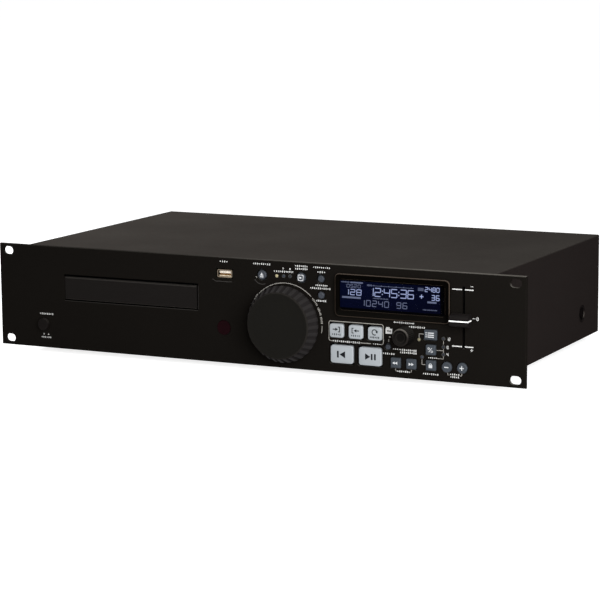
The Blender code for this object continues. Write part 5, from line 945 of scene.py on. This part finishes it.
def key_shape(name, edge):
    """Cap, flange and stem of a key, as in the CAD node, with finer roundings; gives its cap's place too."""
    x, z, width, height, proud, back = extent(name)
    play, shift = KEY_PLAY.get(name, (0.6, 0.15))
    stem, place = 1.6, (x + shift, z, proud)
    carrier_front, carrier_back = KEY_CARRIER + 0.5, KEY_CARRIER - 0.5
    if name in ROUND_KEYS:
        radius = width / 2 - KEY_FLANGE - play / 2
        profile = [(0.0, proud - 0.06), (radius * 0.55, proud - 0.05), (radius - edge * 1.3, proud - 0.02),
                   (radius - edge, proud), (radius - edge * 0.5, proud - edge * 0.13),
                   (radius - edge * 0.13, proud - edge * 0.5), (radius, proud - edge), (radius, carrier_front),
                   (width / 2, carrier_front), (width / 2, carrier_back), (stem, carrier_back), (stem, -back),
                   (0.0, -back)]
        return spun(profile, 64, at(x + shift, z)), place
    corner = 0.9 if name in SQUARE_KEYS else 2.2
    smaller = 2 * KEY_FLANGE + play
    shape = block((width - smaller, proud + 3.2, height - smaller), at(x + shift, z, (proud - 3.2) / 2), corner,
                  rim=edge, steps=6, rim_steps=4)
    shape = block((width, 1.0, height), at(x, z, KEY_CARRIER), corner, shape=shape, finish=1)
    shape = spun([(0.0, -3.6), (stem, -3.6), (stem, -back), (0.0, -back)], 16, at(x, z), shape=shape, finish=1)
    return shape, place


def bracket_sign(side, turn):
    """Bracket with an arrow into it or out of it."""
    return (("bar", side * 2.9, 1.2, 0.75, 4.6), ("bar", side * 2.1, -0.75, 1.2, 0.7),
            ("bar", side * 2.1, 3.15, 1.2, 0.7), ("wedge", -side * 0.1, 1.2, 1.55, turn),
            ("bar", -side * 2.0, 1.2, 2.4, 0.8), ("ticks", 0, -2.9, 6.6, 1.6, 1.5, 0.75))


SIGNS = {
    "eject_button": (("wedge", 0, 0.4, 1.85, UP), ("bar", 0, -1.45, 3.2, 0.85)),
    "source_button": (("outline", 0, 0, 4.5, 4.4, 0.6, 0.7), ("bar", -0.4, 0, 1.8, 1.6)),
    "minus_button": (("bar", 0, 0, 3.6, 0.8),),
    "plus_button": (("bar", 0, 0, 3.6, 0.8), ("bar", 0, 1.1, 0.8, 1.4), ("bar", 0, -1.1, 0.8, 1.4)),
    "loop_in_button": bracket_sign(1, RIGHT),
    "loop_out_button": bracket_sign(-1, LEFT),
    "reloop_button": (("arc", 0, 1.2, 2.1, 0.8, 20, 300, 24), ("wedge", 2.0, 1.5, 1.35, math.radians(-80)),
                      ("ticks", 0, -2.9, 7.2, 1.6, 1.5, 0.75)),
    "cue_button": (("bar", -3.2, 0, 1.5, 5.4), ("wedge", 1.6, 0, 3.3, LEFT)),
    "play_button": (("wedge", -2.6, 0, 3.0), ("bar", 1.7, 0, 1.4, 5.0), ("bar", 4.5, 0, 1.4, 5.0)),
    "rewind_button": (("wedge", -1.1, 0, 1.45, LEFT), ("wedge", 1.1, 0, 1.45, LEFT)),
    "forward_button": (("wedge", -1.1, 0, 1.45), ("wedge", 1.1, 0, 1.45)),
    "database_button": tuple(("bar", across, level, width, 0.8) for level in (-1.6, 0.0, 1.6)
                             for across, width in ((0.6, 5.4), (-3.4, 0.9))),
    "percent_button": (("bar", 0, 0, 0.5, 4.4, math.radians(-38)), ("arc", 1.3, -1.15, 0.72, 0.4, 0, 360, 16),
                       ("arc", -1.3, 1.15, 0.72, 0.4, 0, 360, 16)),
    "key_lock_button": (("bar", 0, -0.7, 3.1, 2.4), ("arc", 0, 0.5, 1.05, 0.55, 0, 180, 12)),
}


class MEDIA_OT_keys(PieceOperator, bpy.types.Operator):
    """Seventeen keys with their plain signs, and the power key"""
    bl_idname = "media_player.keys"
    bl_label = "Keys"

    def execute(self, context):
        for name in PALE_KEYS + SQUARE_KEYS + ROUND_KEYS:
            shape, (x, z, proud) = key_shape(name, self.sizes.key_edge / MM)
            slot = "pale_key" if name in PALE_KEYS else "slate_key"
            finish = "blue_grey_key" if name in BLUE_GREY_KEYS else slot
            body = BODY_OF[name]
            key = finish_piece(f"{name}_detail", shape, [finish, "fader_body"], body, 40.0)
            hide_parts(name)
            if name in SIGNS:
                ink = "dark_print" if name in PALE_KEYS else "key_sign"
                Marks().draw(SIGNS[name], x, z).done(f"{name}_sign", ink, at(x, z, proud - 0.02).y, body=body)
        x, z, width, _, proud, back = extent("power_button")
        radius = width / 2
        profile = [(0.0, proud - 0.25), (radius * 0.6, proud - 0.2), (radius - 0.9, proud - 0.08),
                   (radius - 0.6, proud), (radius - 0.25, proud - 0.12), (radius, proud - 0.6), (radius, -back),
                   (0.0, -back)]
        key = finish_piece("power_button_detail", spun(profile, 64, at(x, z)), "power_key", "power_key", 40.0)
        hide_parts("power_button")
        return {"FINISHED"}


# places from the middle of the display's window
DISPLAY_OUT = -2.15
DISPLAY_SLANT = 0.05
DISPLAY_NUMBERS = (
    ("number", -34.5, 2.0, "128", 4.3, 0.6, 0.9, 0.38, DISPLAY_SLANT),
    ("number", -1.4, 3.1, "12:45:36", 6.5, 0.7, 0.75, 0.22, DISPLAY_SLANT),
    ("number", 34.4, 8.1, "2480", 3.4, 0.55, 0.65, 0.31, DISPLAY_SLANT),
    ("number", 37.2, 1.8, "36", 3.9, 0.6, 0.66, 0.32, DISPLAY_SLANT),
    ("bar", 25.3, 2.2, 3.2, 0.8), ("bar", 25.3, 2.2, 0.8, 3.2))
DISPLAY_BARS = (
    ("number", -33.6, 6.9, "0520", 2.5, 0.4, 0.9, 0.4, DISPLAY_SLANT),
    ("number", -7.5, -6.2, "10240 96", 4.6, 0.62, 0.76, 0.39, DISPLAY_SLANT),
    ("ticks", -41.0, 9.9, 6.6, 1.1, 0.8, 0.5), ("bar", -31.0, 9.8, 11.0, 1.2), ("bar", -35.6, -2.4, 16.5, 1.5),
    ("ticks", -19.9, 8.4, 3.4, 1.6, 0.9, 0.5), ("bar", 0.2, 8.2, 36.6, 0.32),
    *(("bar", -16.0 + index * 6.5, 8.4, 0.6, 0.9) for index in range(6)),
    ("ticks", -10.1, -1.9, 12.6, 0.9, 0.9, 0.5), *(("bar", 24.6, level, 4.8, 0.5) for level in (7.0, 7.9, 8.8)),
    ("bar", 34.2, -2.0, 7.8, 1.5), ("ticks", 32.5, -8.2, 11.4, 0.9, 1.0, 0.6))


class MEDIA_OT_display(PieceOperator, bpy.types.Operator):
    """Display frame, lit ground and segments with plain numbers and bars"""
    bl_idname = "media_player.display"
    bl_label = "Display"

    def execute(self, context):
        x, z, width, height, *_ = extent("display_window")
        width, height = width - 2 * WINDOW_LIP, height - 2 * WINDOW_LIP
        self.add_frame(x, z, width, height)
        ground = block((width + 2.1, 0.5, height + 2.1), at(x, z, DISPLAY_OUT - 0.25), corner=0.4)
        finish_piece("display_glass_back", ground, "display_ground_off")
        area = Marks().draw([("bar", -2.1, 0.1, 87.0, 21.8)], x, z)
        area.done("display_lit_area", "display_ground", at(x, z, DISPLAY_OUT).y, 0.06)
        segments_y = at(x, z, DISPLAY_OUT + 0.08).y
        Marks().draw(DISPLAY_NUMBERS, x, z).done("display_numbers", "display_segment", segments_y)
        Marks().draw(DISPLAY_BARS, x, z).done("display_bars", "display_segment_dim", segments_y)
        return {"FINISHED"}

    def add_frame(self, window_x, window_z, window_width, window_height):
        """Frame with a rounded outer edge and a slope down to the window; its outer rim and a ring round the window
        are pale painted highlights.
        """
        x, z, width, height, front, back = extent("display_bezel")
        shape = block((width + 1.4, front + back, height), at(x + 0.7, z, (front - back) / 2), corner=4.0,
                      rim=0.7, steps=8, rim_steps=4)
        largest = sorted(shape.faces, key=lambda item: item.calc_area())[-2:]
        fore, rear = sorted(largest, key=lambda item: item.calc_center_median().y)
        # faces of the rounded outer rim take the pale finish of a painted highlight
        for face in shape.faces:
            if face.calc_center_median().y < fore.calc_center_median().y + 0.6 * MM and face is not fore:
                face.material_index = 1
        bmesh.ops.inset_region(shape, faces=[fore], thickness=0.6 * MM, depth=-0.3 * MM)
        for face, out in ((fore, 0.95), (rear, -back)):
            bmesh.ops.inset_region(shape, faces=[face], thickness=0.4 * MM, depth=0.0)
            spots = [(vert.co - at(x, z)) / MM for vert in face.verts]
            share_x = window_width / 2 / max(abs(spot.x) for spot in spots)
            share_z = window_height / 2 / max(abs(spot.z) for spot in spots)
            for vert, spot in zip(face.verts, spots):
                vert.co = at(window_x + spot.x * share_x, window_z + spot.z * share_z, out)
        loops = [edge for face in (fore, rear) for edge in face.edges]
        bmesh.ops.delete(shape, geom=[fore, rear], context="FACES_ONLY")
        bmesh.ops.bridge_loops(shape, edges=loops)
        piece = finish_piece("display_bezel_detail", shape, ["bezel_plastic", "bezel_rim"], "chassis", 28.0)
        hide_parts("display_bezel")
        # pale ring round the window's edge: painted highlight
        ring = [("outline", 0, 0, window_width + 0.9, window_height + 0.9, 0.45, 0.5)]
        Marks().draw(ring, window_x, window_z).done("display_bezel_highlight_ring", "bezel_rim", at(x, z, 0.98).y, 0.08)


# name, x, z, radius and finish
LIGHTS = (
    ("source_light_one", 26.3, 75.6, 1.3, "light_cream"), ("source_light_two", 32.6, 75.85, 0.9, "light_blue"),
    ("source_light_three", 38.4, 76.0, 0.9, "light_off"), ("pitch_range_light_one", 172.4, 34.6, 0.9, "light_off"),
    ("pitch_range_light_two", 172.4, 27.8, 0.9, "light_off"),
    ("pitch_range_light_three", 172.4, 21.9, 0.9, "light_off"),
    ("database_light", 151.6, 32.4, 1.3, "light_amber"), ("key_lock_light", 154.1, 18.5, 0.9, "light_blue"))


class MEDIA_OT_lights(PieceOperator, bpy.types.Operator):
    """Small domes on the light pipes, lit or dark"""
    bl_idname = "media_player.lights"
    bl_label = "Lights"

    def execute(self, context):
        for name, x, z, radius, finish in LIGHTS:
            profile = [(0.0, 0.7), (0.35 * radius, 0.67), (0.62 * radius, 0.58), (0.85 * radius, 0.42),
                       (0.96 * radius, 0.25), (radius, 0.1), (radius, -0.2), (0.0, -0.2)]
            finish_piece(name, spun(profile, 24, at(x, z, 0.35)), finish)
        return {"FINISHED"}


# rows of fine ticks in place of words: x, z, width, height
TICK_ROWS = (
    (-22.6, 84.5, 6.0, 1.5), (12.4, 84.5, 14.6, 1.5), (26.0, 79.4, 4.0, 1.5), (32.2, 79.4, 5.0, 1.6),
    (38.2, 79.5, 4.8, 1.6), (48.3, 84.8, 10.2, 1.5), (48.3, 82.5, 10.2, 1.5), (66.4, 84.6, 14.0, 1.2),
    (66.1, 81.0, 5.8, 1.5), (66.2, 70.2, 9.8, 1.3), (65.2, 67.7, 17.0, 1.5), (65.9, 57.6, 7.8, 1.5),
    (88.0, 25.9, 22.8, 1.5), (114.8, 25.9, 5.6, 0.9), (125.2, 19.0, 9.0, 1.5), (138.4, 44.8, 10.4, 1.4),
    (149.7, 42.0, 12.6, 1.5), (132.0, 23.2, 5.2, 1.0), (142.2, 23.0, 13.2, 1.5), (142.2, 20.9, 13.2, 1.5),
    (163.0, 18.4, 6.4, 0.9), (161.5, 5.3, 12.2, 1.4), (138.1, 5.5, 9.6, 1.5), (181.9, 6.6, 7.0, 1.4),
    (181.9, 4.5, 6.4, 1.4), (-195.3, 29.3, 12.2, 1.6), (-196.1, 9.0, 8.6, 1.3))
# places from the middle of the jog wheel
JOG_RINGS = (
    ("arc", 0, 0, 33.06, 0.5, 45, 136, 80), ("arc", 0, 0, 33.06, 0.5, -10, 0, 8),
    ("arc", 0, 0, 33.2, 1.3, 138.0, 143.5, 5), ("arc", 0, 0, 33.2, 0.8, 144.0, 149.5, 5),
    ("arc", 0, 0, 33.3, 1.0, 152.5, 154.5, 3), ("arc_ticks", 0, 0, 33.1, 41.5, 28, 1.4),
    ("arc_ticks", 0, 0, 33.0, 26, 4, 1.7))
# finish and marks of each print and of the faint painted highlights, with their places on the panel
PRINTS = {
    "panel_print_rings": ("grey_print", (
        ("outline", 96.65, 33.95, 47.9, 16.1, 0.5, 1.6, True), ("wedge", 7.5, 73.6, 0.9, math.radians(60)),
        ("bar", 75.4, 25.9, 2.6, 0.5), ("bar", 105.0, 25.9, 9.6, 0.5), ("bar", 118.6, 25.9, 1.6, 0.5))),
    "panel_print_ticks": ("marks_print", (
        *(("ticks", *row) for row in TICK_ROWS), ("bar", 31.8, 82.0, 0.5, 1.6), ("dot", 38.2, 81.9, 0.7, 12),
        ("wedge", 130.2, 44.8, 0.9, LEFT), ("bar", 131.5, 44.8, 1.6, 0.5), ("wedge", -198.4, 11.6, 0.8, UP),
        ("wedge", 146.6, 44.8, 0.9), ("bar", 145.3, 44.8, 1.6, 0.5), ("wedge", -193.8, 11.6, 0.8, UP))),
    "panel_print_lines": ("marks_print", (
        ("bar", 183.8, 74.55, 8.3, 0.85), ("bar", 194.0, 74.55, 7.1, 0.85), ("bar", 183.8, 29.35, 8.3, 0.85),
        ("bar", 194.0, 29.35, 7.1, 0.85), ("bar", 196.2, 77.3, 2.2, 0.5), ("bar", 196.2, 26.9, 2.2, 0.5),
        ("bar", 196.2, 26.9, 0.5, 2.2), ("bar", 198.0, 52.2, 2.4, 0.5), ("number", 201.0, 52.1, "0", 2.3, 0.5))),
    "panel_print_leaders": ("grey_print", (
        *(("bar", 172.4, level, 0.4, 2.6) for level in (31.2, 24.8, 20.0)), ("bar", 169.2, 24.8, 5.6, 0.4),
        ("bar", 169.3, 18.3, 6.0, 0.4), ("bar", 151.5, 35.4, 0.4, 3.4), ("bar", 153.4, 37.0, 4.0, 0.4),
        ("bar", 154.0, 14.6, 0.4, 4.2), ("bar", 155.5, 12.6, 3.2, 0.4), ("bar", 125.3, 29.6, 0.5, 2.5),
        ("bar", 126.2, 32.6, 1.4, 0.9),
        ("bar", 131.3, 6.6, 0.4, 2.0), ("bar", 132.1, 5.6, 1.7, 0.4), ("bar", 144.9, 6.6, 0.4, 2.0),
        ("bar", 144.1, 5.6, 1.7, 0.4), ("bar", 176.0, 6.9, 0.4, 2.0), ("bar", 176.8, 5.9, 1.7, 0.4),
        ("bar", 187.9, 6.9, 0.4, 2.0), ("bar", 187.1, 5.9, 1.7, 0.4))),
    # faint lines paint highlights on the moulded dishes round the eject key and the USB port
    "panel_faint_highlights": ("dim_print", (
        ("arc", 12.6, 75.6, 7.7, 0.5, 212, 292, 14), ("bar", -22.6, 67.9, 14.6, 0.45),
        ("bar", -31.6, 68.7, 3.6, 0.45, math.radians(-28)))),
    "panel_print_numbers": ("marks_print", (
        ("number", 176.6, 34.4, "12", 2.1, 0.42), ("number", 175.8, 27.8, "8", 2.1, 0.42),
        ("number", 175.8, 22.0, "4", 2.1, 0.42))),
    "panel_print_folder": ("marks_print", (("bar", 125.4, 37.1, 5.6, 4.2), ("bar", 124.6, 39.6, 3.0, 1.4))),
}
FOLDER_SIGN = (("wedge", 124.6, 37.3, 1.15, LEFT), ("wedge", 126.4, 37.3, 1.15, LEFT))


class MEDIA_OT_print(PieceOperator, bpy.types.Operator):
    """Lines, arcs, ticks and plain numbers printed on the panel, and faint painted highlights drawn like print"""
    bl_idname = "media_player.panel_print"
    bl_label = "Panel print"

    def execute(self, context):
        y = at(0, 0, PRINT_OUT).y
        jog_x, jog_z, *_ = extent("jog_wheel")
        for name, (finish, rows) in PRINTS.items():
            marks = Marks()
            if name == "panel_print_rings":
                marks.draw(JOG_RINGS, jog_x, jog_z)
            marks.draw(rows).done(name, finish, y)
        Marks().draw(FOLDER_SIGN).done("panel_print_folder_sign", "dark_print", y - PRINT_DEPTH * MM, 0.03)
        return {"FINISHED"}


class MEDIA_OT_rear(PieceOperator, bpy.types.Operator):
    """Plated pins of the mains inlet, insulator rings of the audio sockets, and plain print on the rear panel"""
    bl_idname = "media_player.rear"
    bl_label = "Rear"

    def execute(self, context):
        x, z, *_, mouth = extent("mains_inlet")
        pins = blocks([((2.1, 13.1, 4.1), (x + step * 7.0, z + level * 2.0, 10.5 - mouth))
                       for step, level in ((-1, -1), (0, 1), (1, -1))], rim=0.5, rim_side=1)
        finish_piece("mains_inlet_pins", pins, "nickel_plate")
        sockets_x, sockets_z, *_, end = extent("audio_output_sockets")
        for index, colour in enumerate(("amber", "red", "white")):
            ring = spun([(1.85, 0.1), (3.3, 0.1), (3.4, 0.0), (3.4, -0.8), (1.85, -0.8), (1.85, 0.1)], 48,
                        at(sockets_x + (index - 1) * SOCKET_PITCH, sockets_z, -end - 0.02), FACING_BACK)
            finish_piece(f"audio_socket_{colour}_ring", ring, f"ring_{colour}")
        marks = Marks().draw([
            ("outline", 0, 1.5, 46.0, 20.0, 0.5, 2.0), ("number", SOCKET_PITCH, 8.4, "1", 2.4, 0.45),
            ("number", 0, 8.4, "2", 2.4, 0.45), ("number", -SOCKET_PITCH, 8.4, "3", 2.4, 0.45),
            ("ticks", 0, 14.0, 16.0, 1.6)], -sockets_x, sockets_z)
        marks.draw([("outline", 0, 0, 38.0, 32.0, 0.5, 2.0), ("ticks", 0, 18.6, 14.0, 1.6)], -x, z)
        marks.done("rear_panel_print", "grey_print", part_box("rear_panel")[1].y - 0.02 * MM, turn=math.pi)
        return {"FINISHED"}


def seen_rays(tree):
    """One for rays that the picture shows: straight, mirrored or through the window."""
    rays = add_node(tree, "LightPath")
    plain = Term(rays, "Is Camera Ray").calc("MAXIMUM", Term(rays, "Is Glossy Ray"))
    return plain.calc("MAXIMUM", Term(rays, "Is Transmission Ray"))


class MEDIA_OT_stage(PieceOperator, bpy.types.Operator):
    """Floor, soft light and the camera at the photograph's viewing angle"""
    bl_idname = "media_player.stage"
    bl_label = "Stage"

    def execute(self, context):
        settings = context.scene.player_stage
        self.add_floor(settings)
        self.add_world(context, settings)
        self.add_lamp("top_lamp", settings.top_lamp, 0.5, (-0.56, 0.12, 0.62), (0.0, 0.0, 0.09))
        self.add_lamp("front_lamp", settings.front_lamp, 1.0, (1.0, -1.0, 0.42), (0.0, -0.12, 0.04))
        self.add_camera(context, settings)
        context.scene.view_settings.view_transform = "Standard"
        return {"FINISHED"}

    def add_floor(self, settings):
        """White paper that the feet stand on, a hair below them."""
        tree, shader = bare_material("floor_paper")
        level = seen_rays(tree) * 0.80
        glow = add_node(tree, "CombineColor", {"Red": level, "Green": level, "Blue": level})
        fibre = noise(coords(tree), 60.0)
        feed(shader, {"Base Color": blend(fibre, (0.54, 0.54, 0.54), (0.56, 0.56, 0.56)), "Roughness": 0.9,
                      "Specular IOR Level": 0.0, "Emission Color": Term(glow), "Emission Strength": 1.0})
        shape = bmesh.new()
        bmesh.ops.create_grid(shape, x_segments=1, y_segments=1, size=settings.floor_reach)
        bmesh.ops.translate(shape, vec=(0, 0, -0.1 * MM), verts=shape.verts)
        mesh = bpy.data.meshes.new("floor")
        shape.to_mesh(mesh)
        shape.free()
        mesh.materials.append(MATERIALS["floor_paper"])
        floor = add_object("floor", mesh)

    def add_lamp(self, name, power, size, place, target):
        lamp = bpy.data.lights.new(name, "AREA")
        lamp.shape = "SQUARE"
        lamp.size = size
        lamp.energy = power
        item = add_object(name, lamp)
        item.location = place
        item.rotation_euler = (Vector(target) - item.location).to_track_quat("-Z", "Y").to_euler()
        item.visible_camera = False

    def add_world(self, context, settings):
        """Soft light that is brighter from above, on a white ground."""
        world = context.scene.world = bpy.data.worlds.new("soft_sky")
        world.use_nodes = True
        tree = world.node_tree
        tree.nodes.clear()
        rise = along(Term(add_node(tree, "TexCoord"), "Generated"), "Z").calc("MAXIMUM")
        strength = rise * (settings.sky - settings.horizon) + settings.horizon
        soft = add_node(tree, "Background", {"Color": (1.0, 1.0, 1.0), "Strength": strength})
        white = add_node(tree, "Background", {"Color": (1.0, 1.0, 1.0), "Strength": 1.0})
        mix = add_node(tree, "MixShader", {0: seen_rays(tree), 1: Term(soft), 2: Term(white)})
        add_node(tree, "OutputWorld", {"Surface": Term(mix)})

    def add_camera(self, context, settings):
        yaw, pitch, roll = settings.camera_yaw, settings.camera_pitch, settings.camera_roll
        ahead = Vector((math.sin(yaw) * math.cos(pitch), math.cos(yaw) * math.cos(pitch), math.sin(pitch)))
        right = Vector((math.cos(yaw), -math.sin(yaw), 0.0))
        up = right.cross(ahead)
        side = right * math.cos(roll) + up * math.sin(roll)
        rise = up * math.cos(roll) - right * math.sin(roll)
        turn = Matrix((side, rise, -ahead)).transposed()
        data = bpy.data.cameras.new("camera")
        data.sensor_width = 36.0
        data.lens = settings.camera_lens
        camera = add_object("camera", data)
        camera.matrix_world = Matrix.Translation(Vector(settings.camera_place)) @ turn.to_4x4()
        context.scene.camera = camera


class MEDIA_PT_player(bpy.types.Panel):
    """Pieces and settings of the rack media player"""
    bl_label = "Rack media player"
    bl_idname = "MEDIA_PT_player"
    bl_space_type = "VIEW_3D"
    bl_region_type = "UI"
    bl_category = "Media player"

    def draw(self, context):
        layout = self.layout
        for operator in OPERATORS:
            layout.operator(operator.bl_idname)
        for settings in (context.scene.player_colours, context.scene.player_sizes, context.scene.player_stage):
            box = layout.box()
            for name in settings.__annotations__:
                box.prop(settings, name)


OPERATORS = (MEDIA_OT_finishes, MEDIA_OT_tray_door, MEDIA_OT_usb_port, MEDIA_OT_cover_screws, MEDIA_OT_jog_wheel,
             MEDIA_OT_track_knob, MEDIA_OT_fader, MEDIA_OT_keys, MEDIA_OT_display, MEDIA_OT_lights,
             MEDIA_OT_print, MEDIA_OT_rear, MEDIA_OT_stage)
SETTINGS = (PlayerColours, PlayerSizes, StageSettings)


def register():
    for item in SETTINGS + OPERATORS + (MEDIA_PT_player,):
        bpy.utils.register_class(item)
    bpy.types.Scene.player_colours = bpy.props.PointerProperty(type=PlayerColours)
    bpy.types.Scene.player_sizes = bpy.props.PointerProperty(type=PlayerSizes)
    bpy.types.Scene.player_stage = bpy.props.PointerProperty(type=StageSettings)


def unregister():
    del bpy.types.Scene.player_stage
    del bpy.types.Scene.player_sizes
    del bpy.types.Scene.player_colours
    for item in reversed(SETTINGS + OPERATORS + (MEDIA_PT_player,)):
        bpy.utils.unregister_class(item)


def main():
    register()
    for operator in OPERATORS:
        group, name = operator.bl_idname.split(".")
        getattr(getattr(bpy.ops, group), name)()


if __name__ == "__main__":
    main()
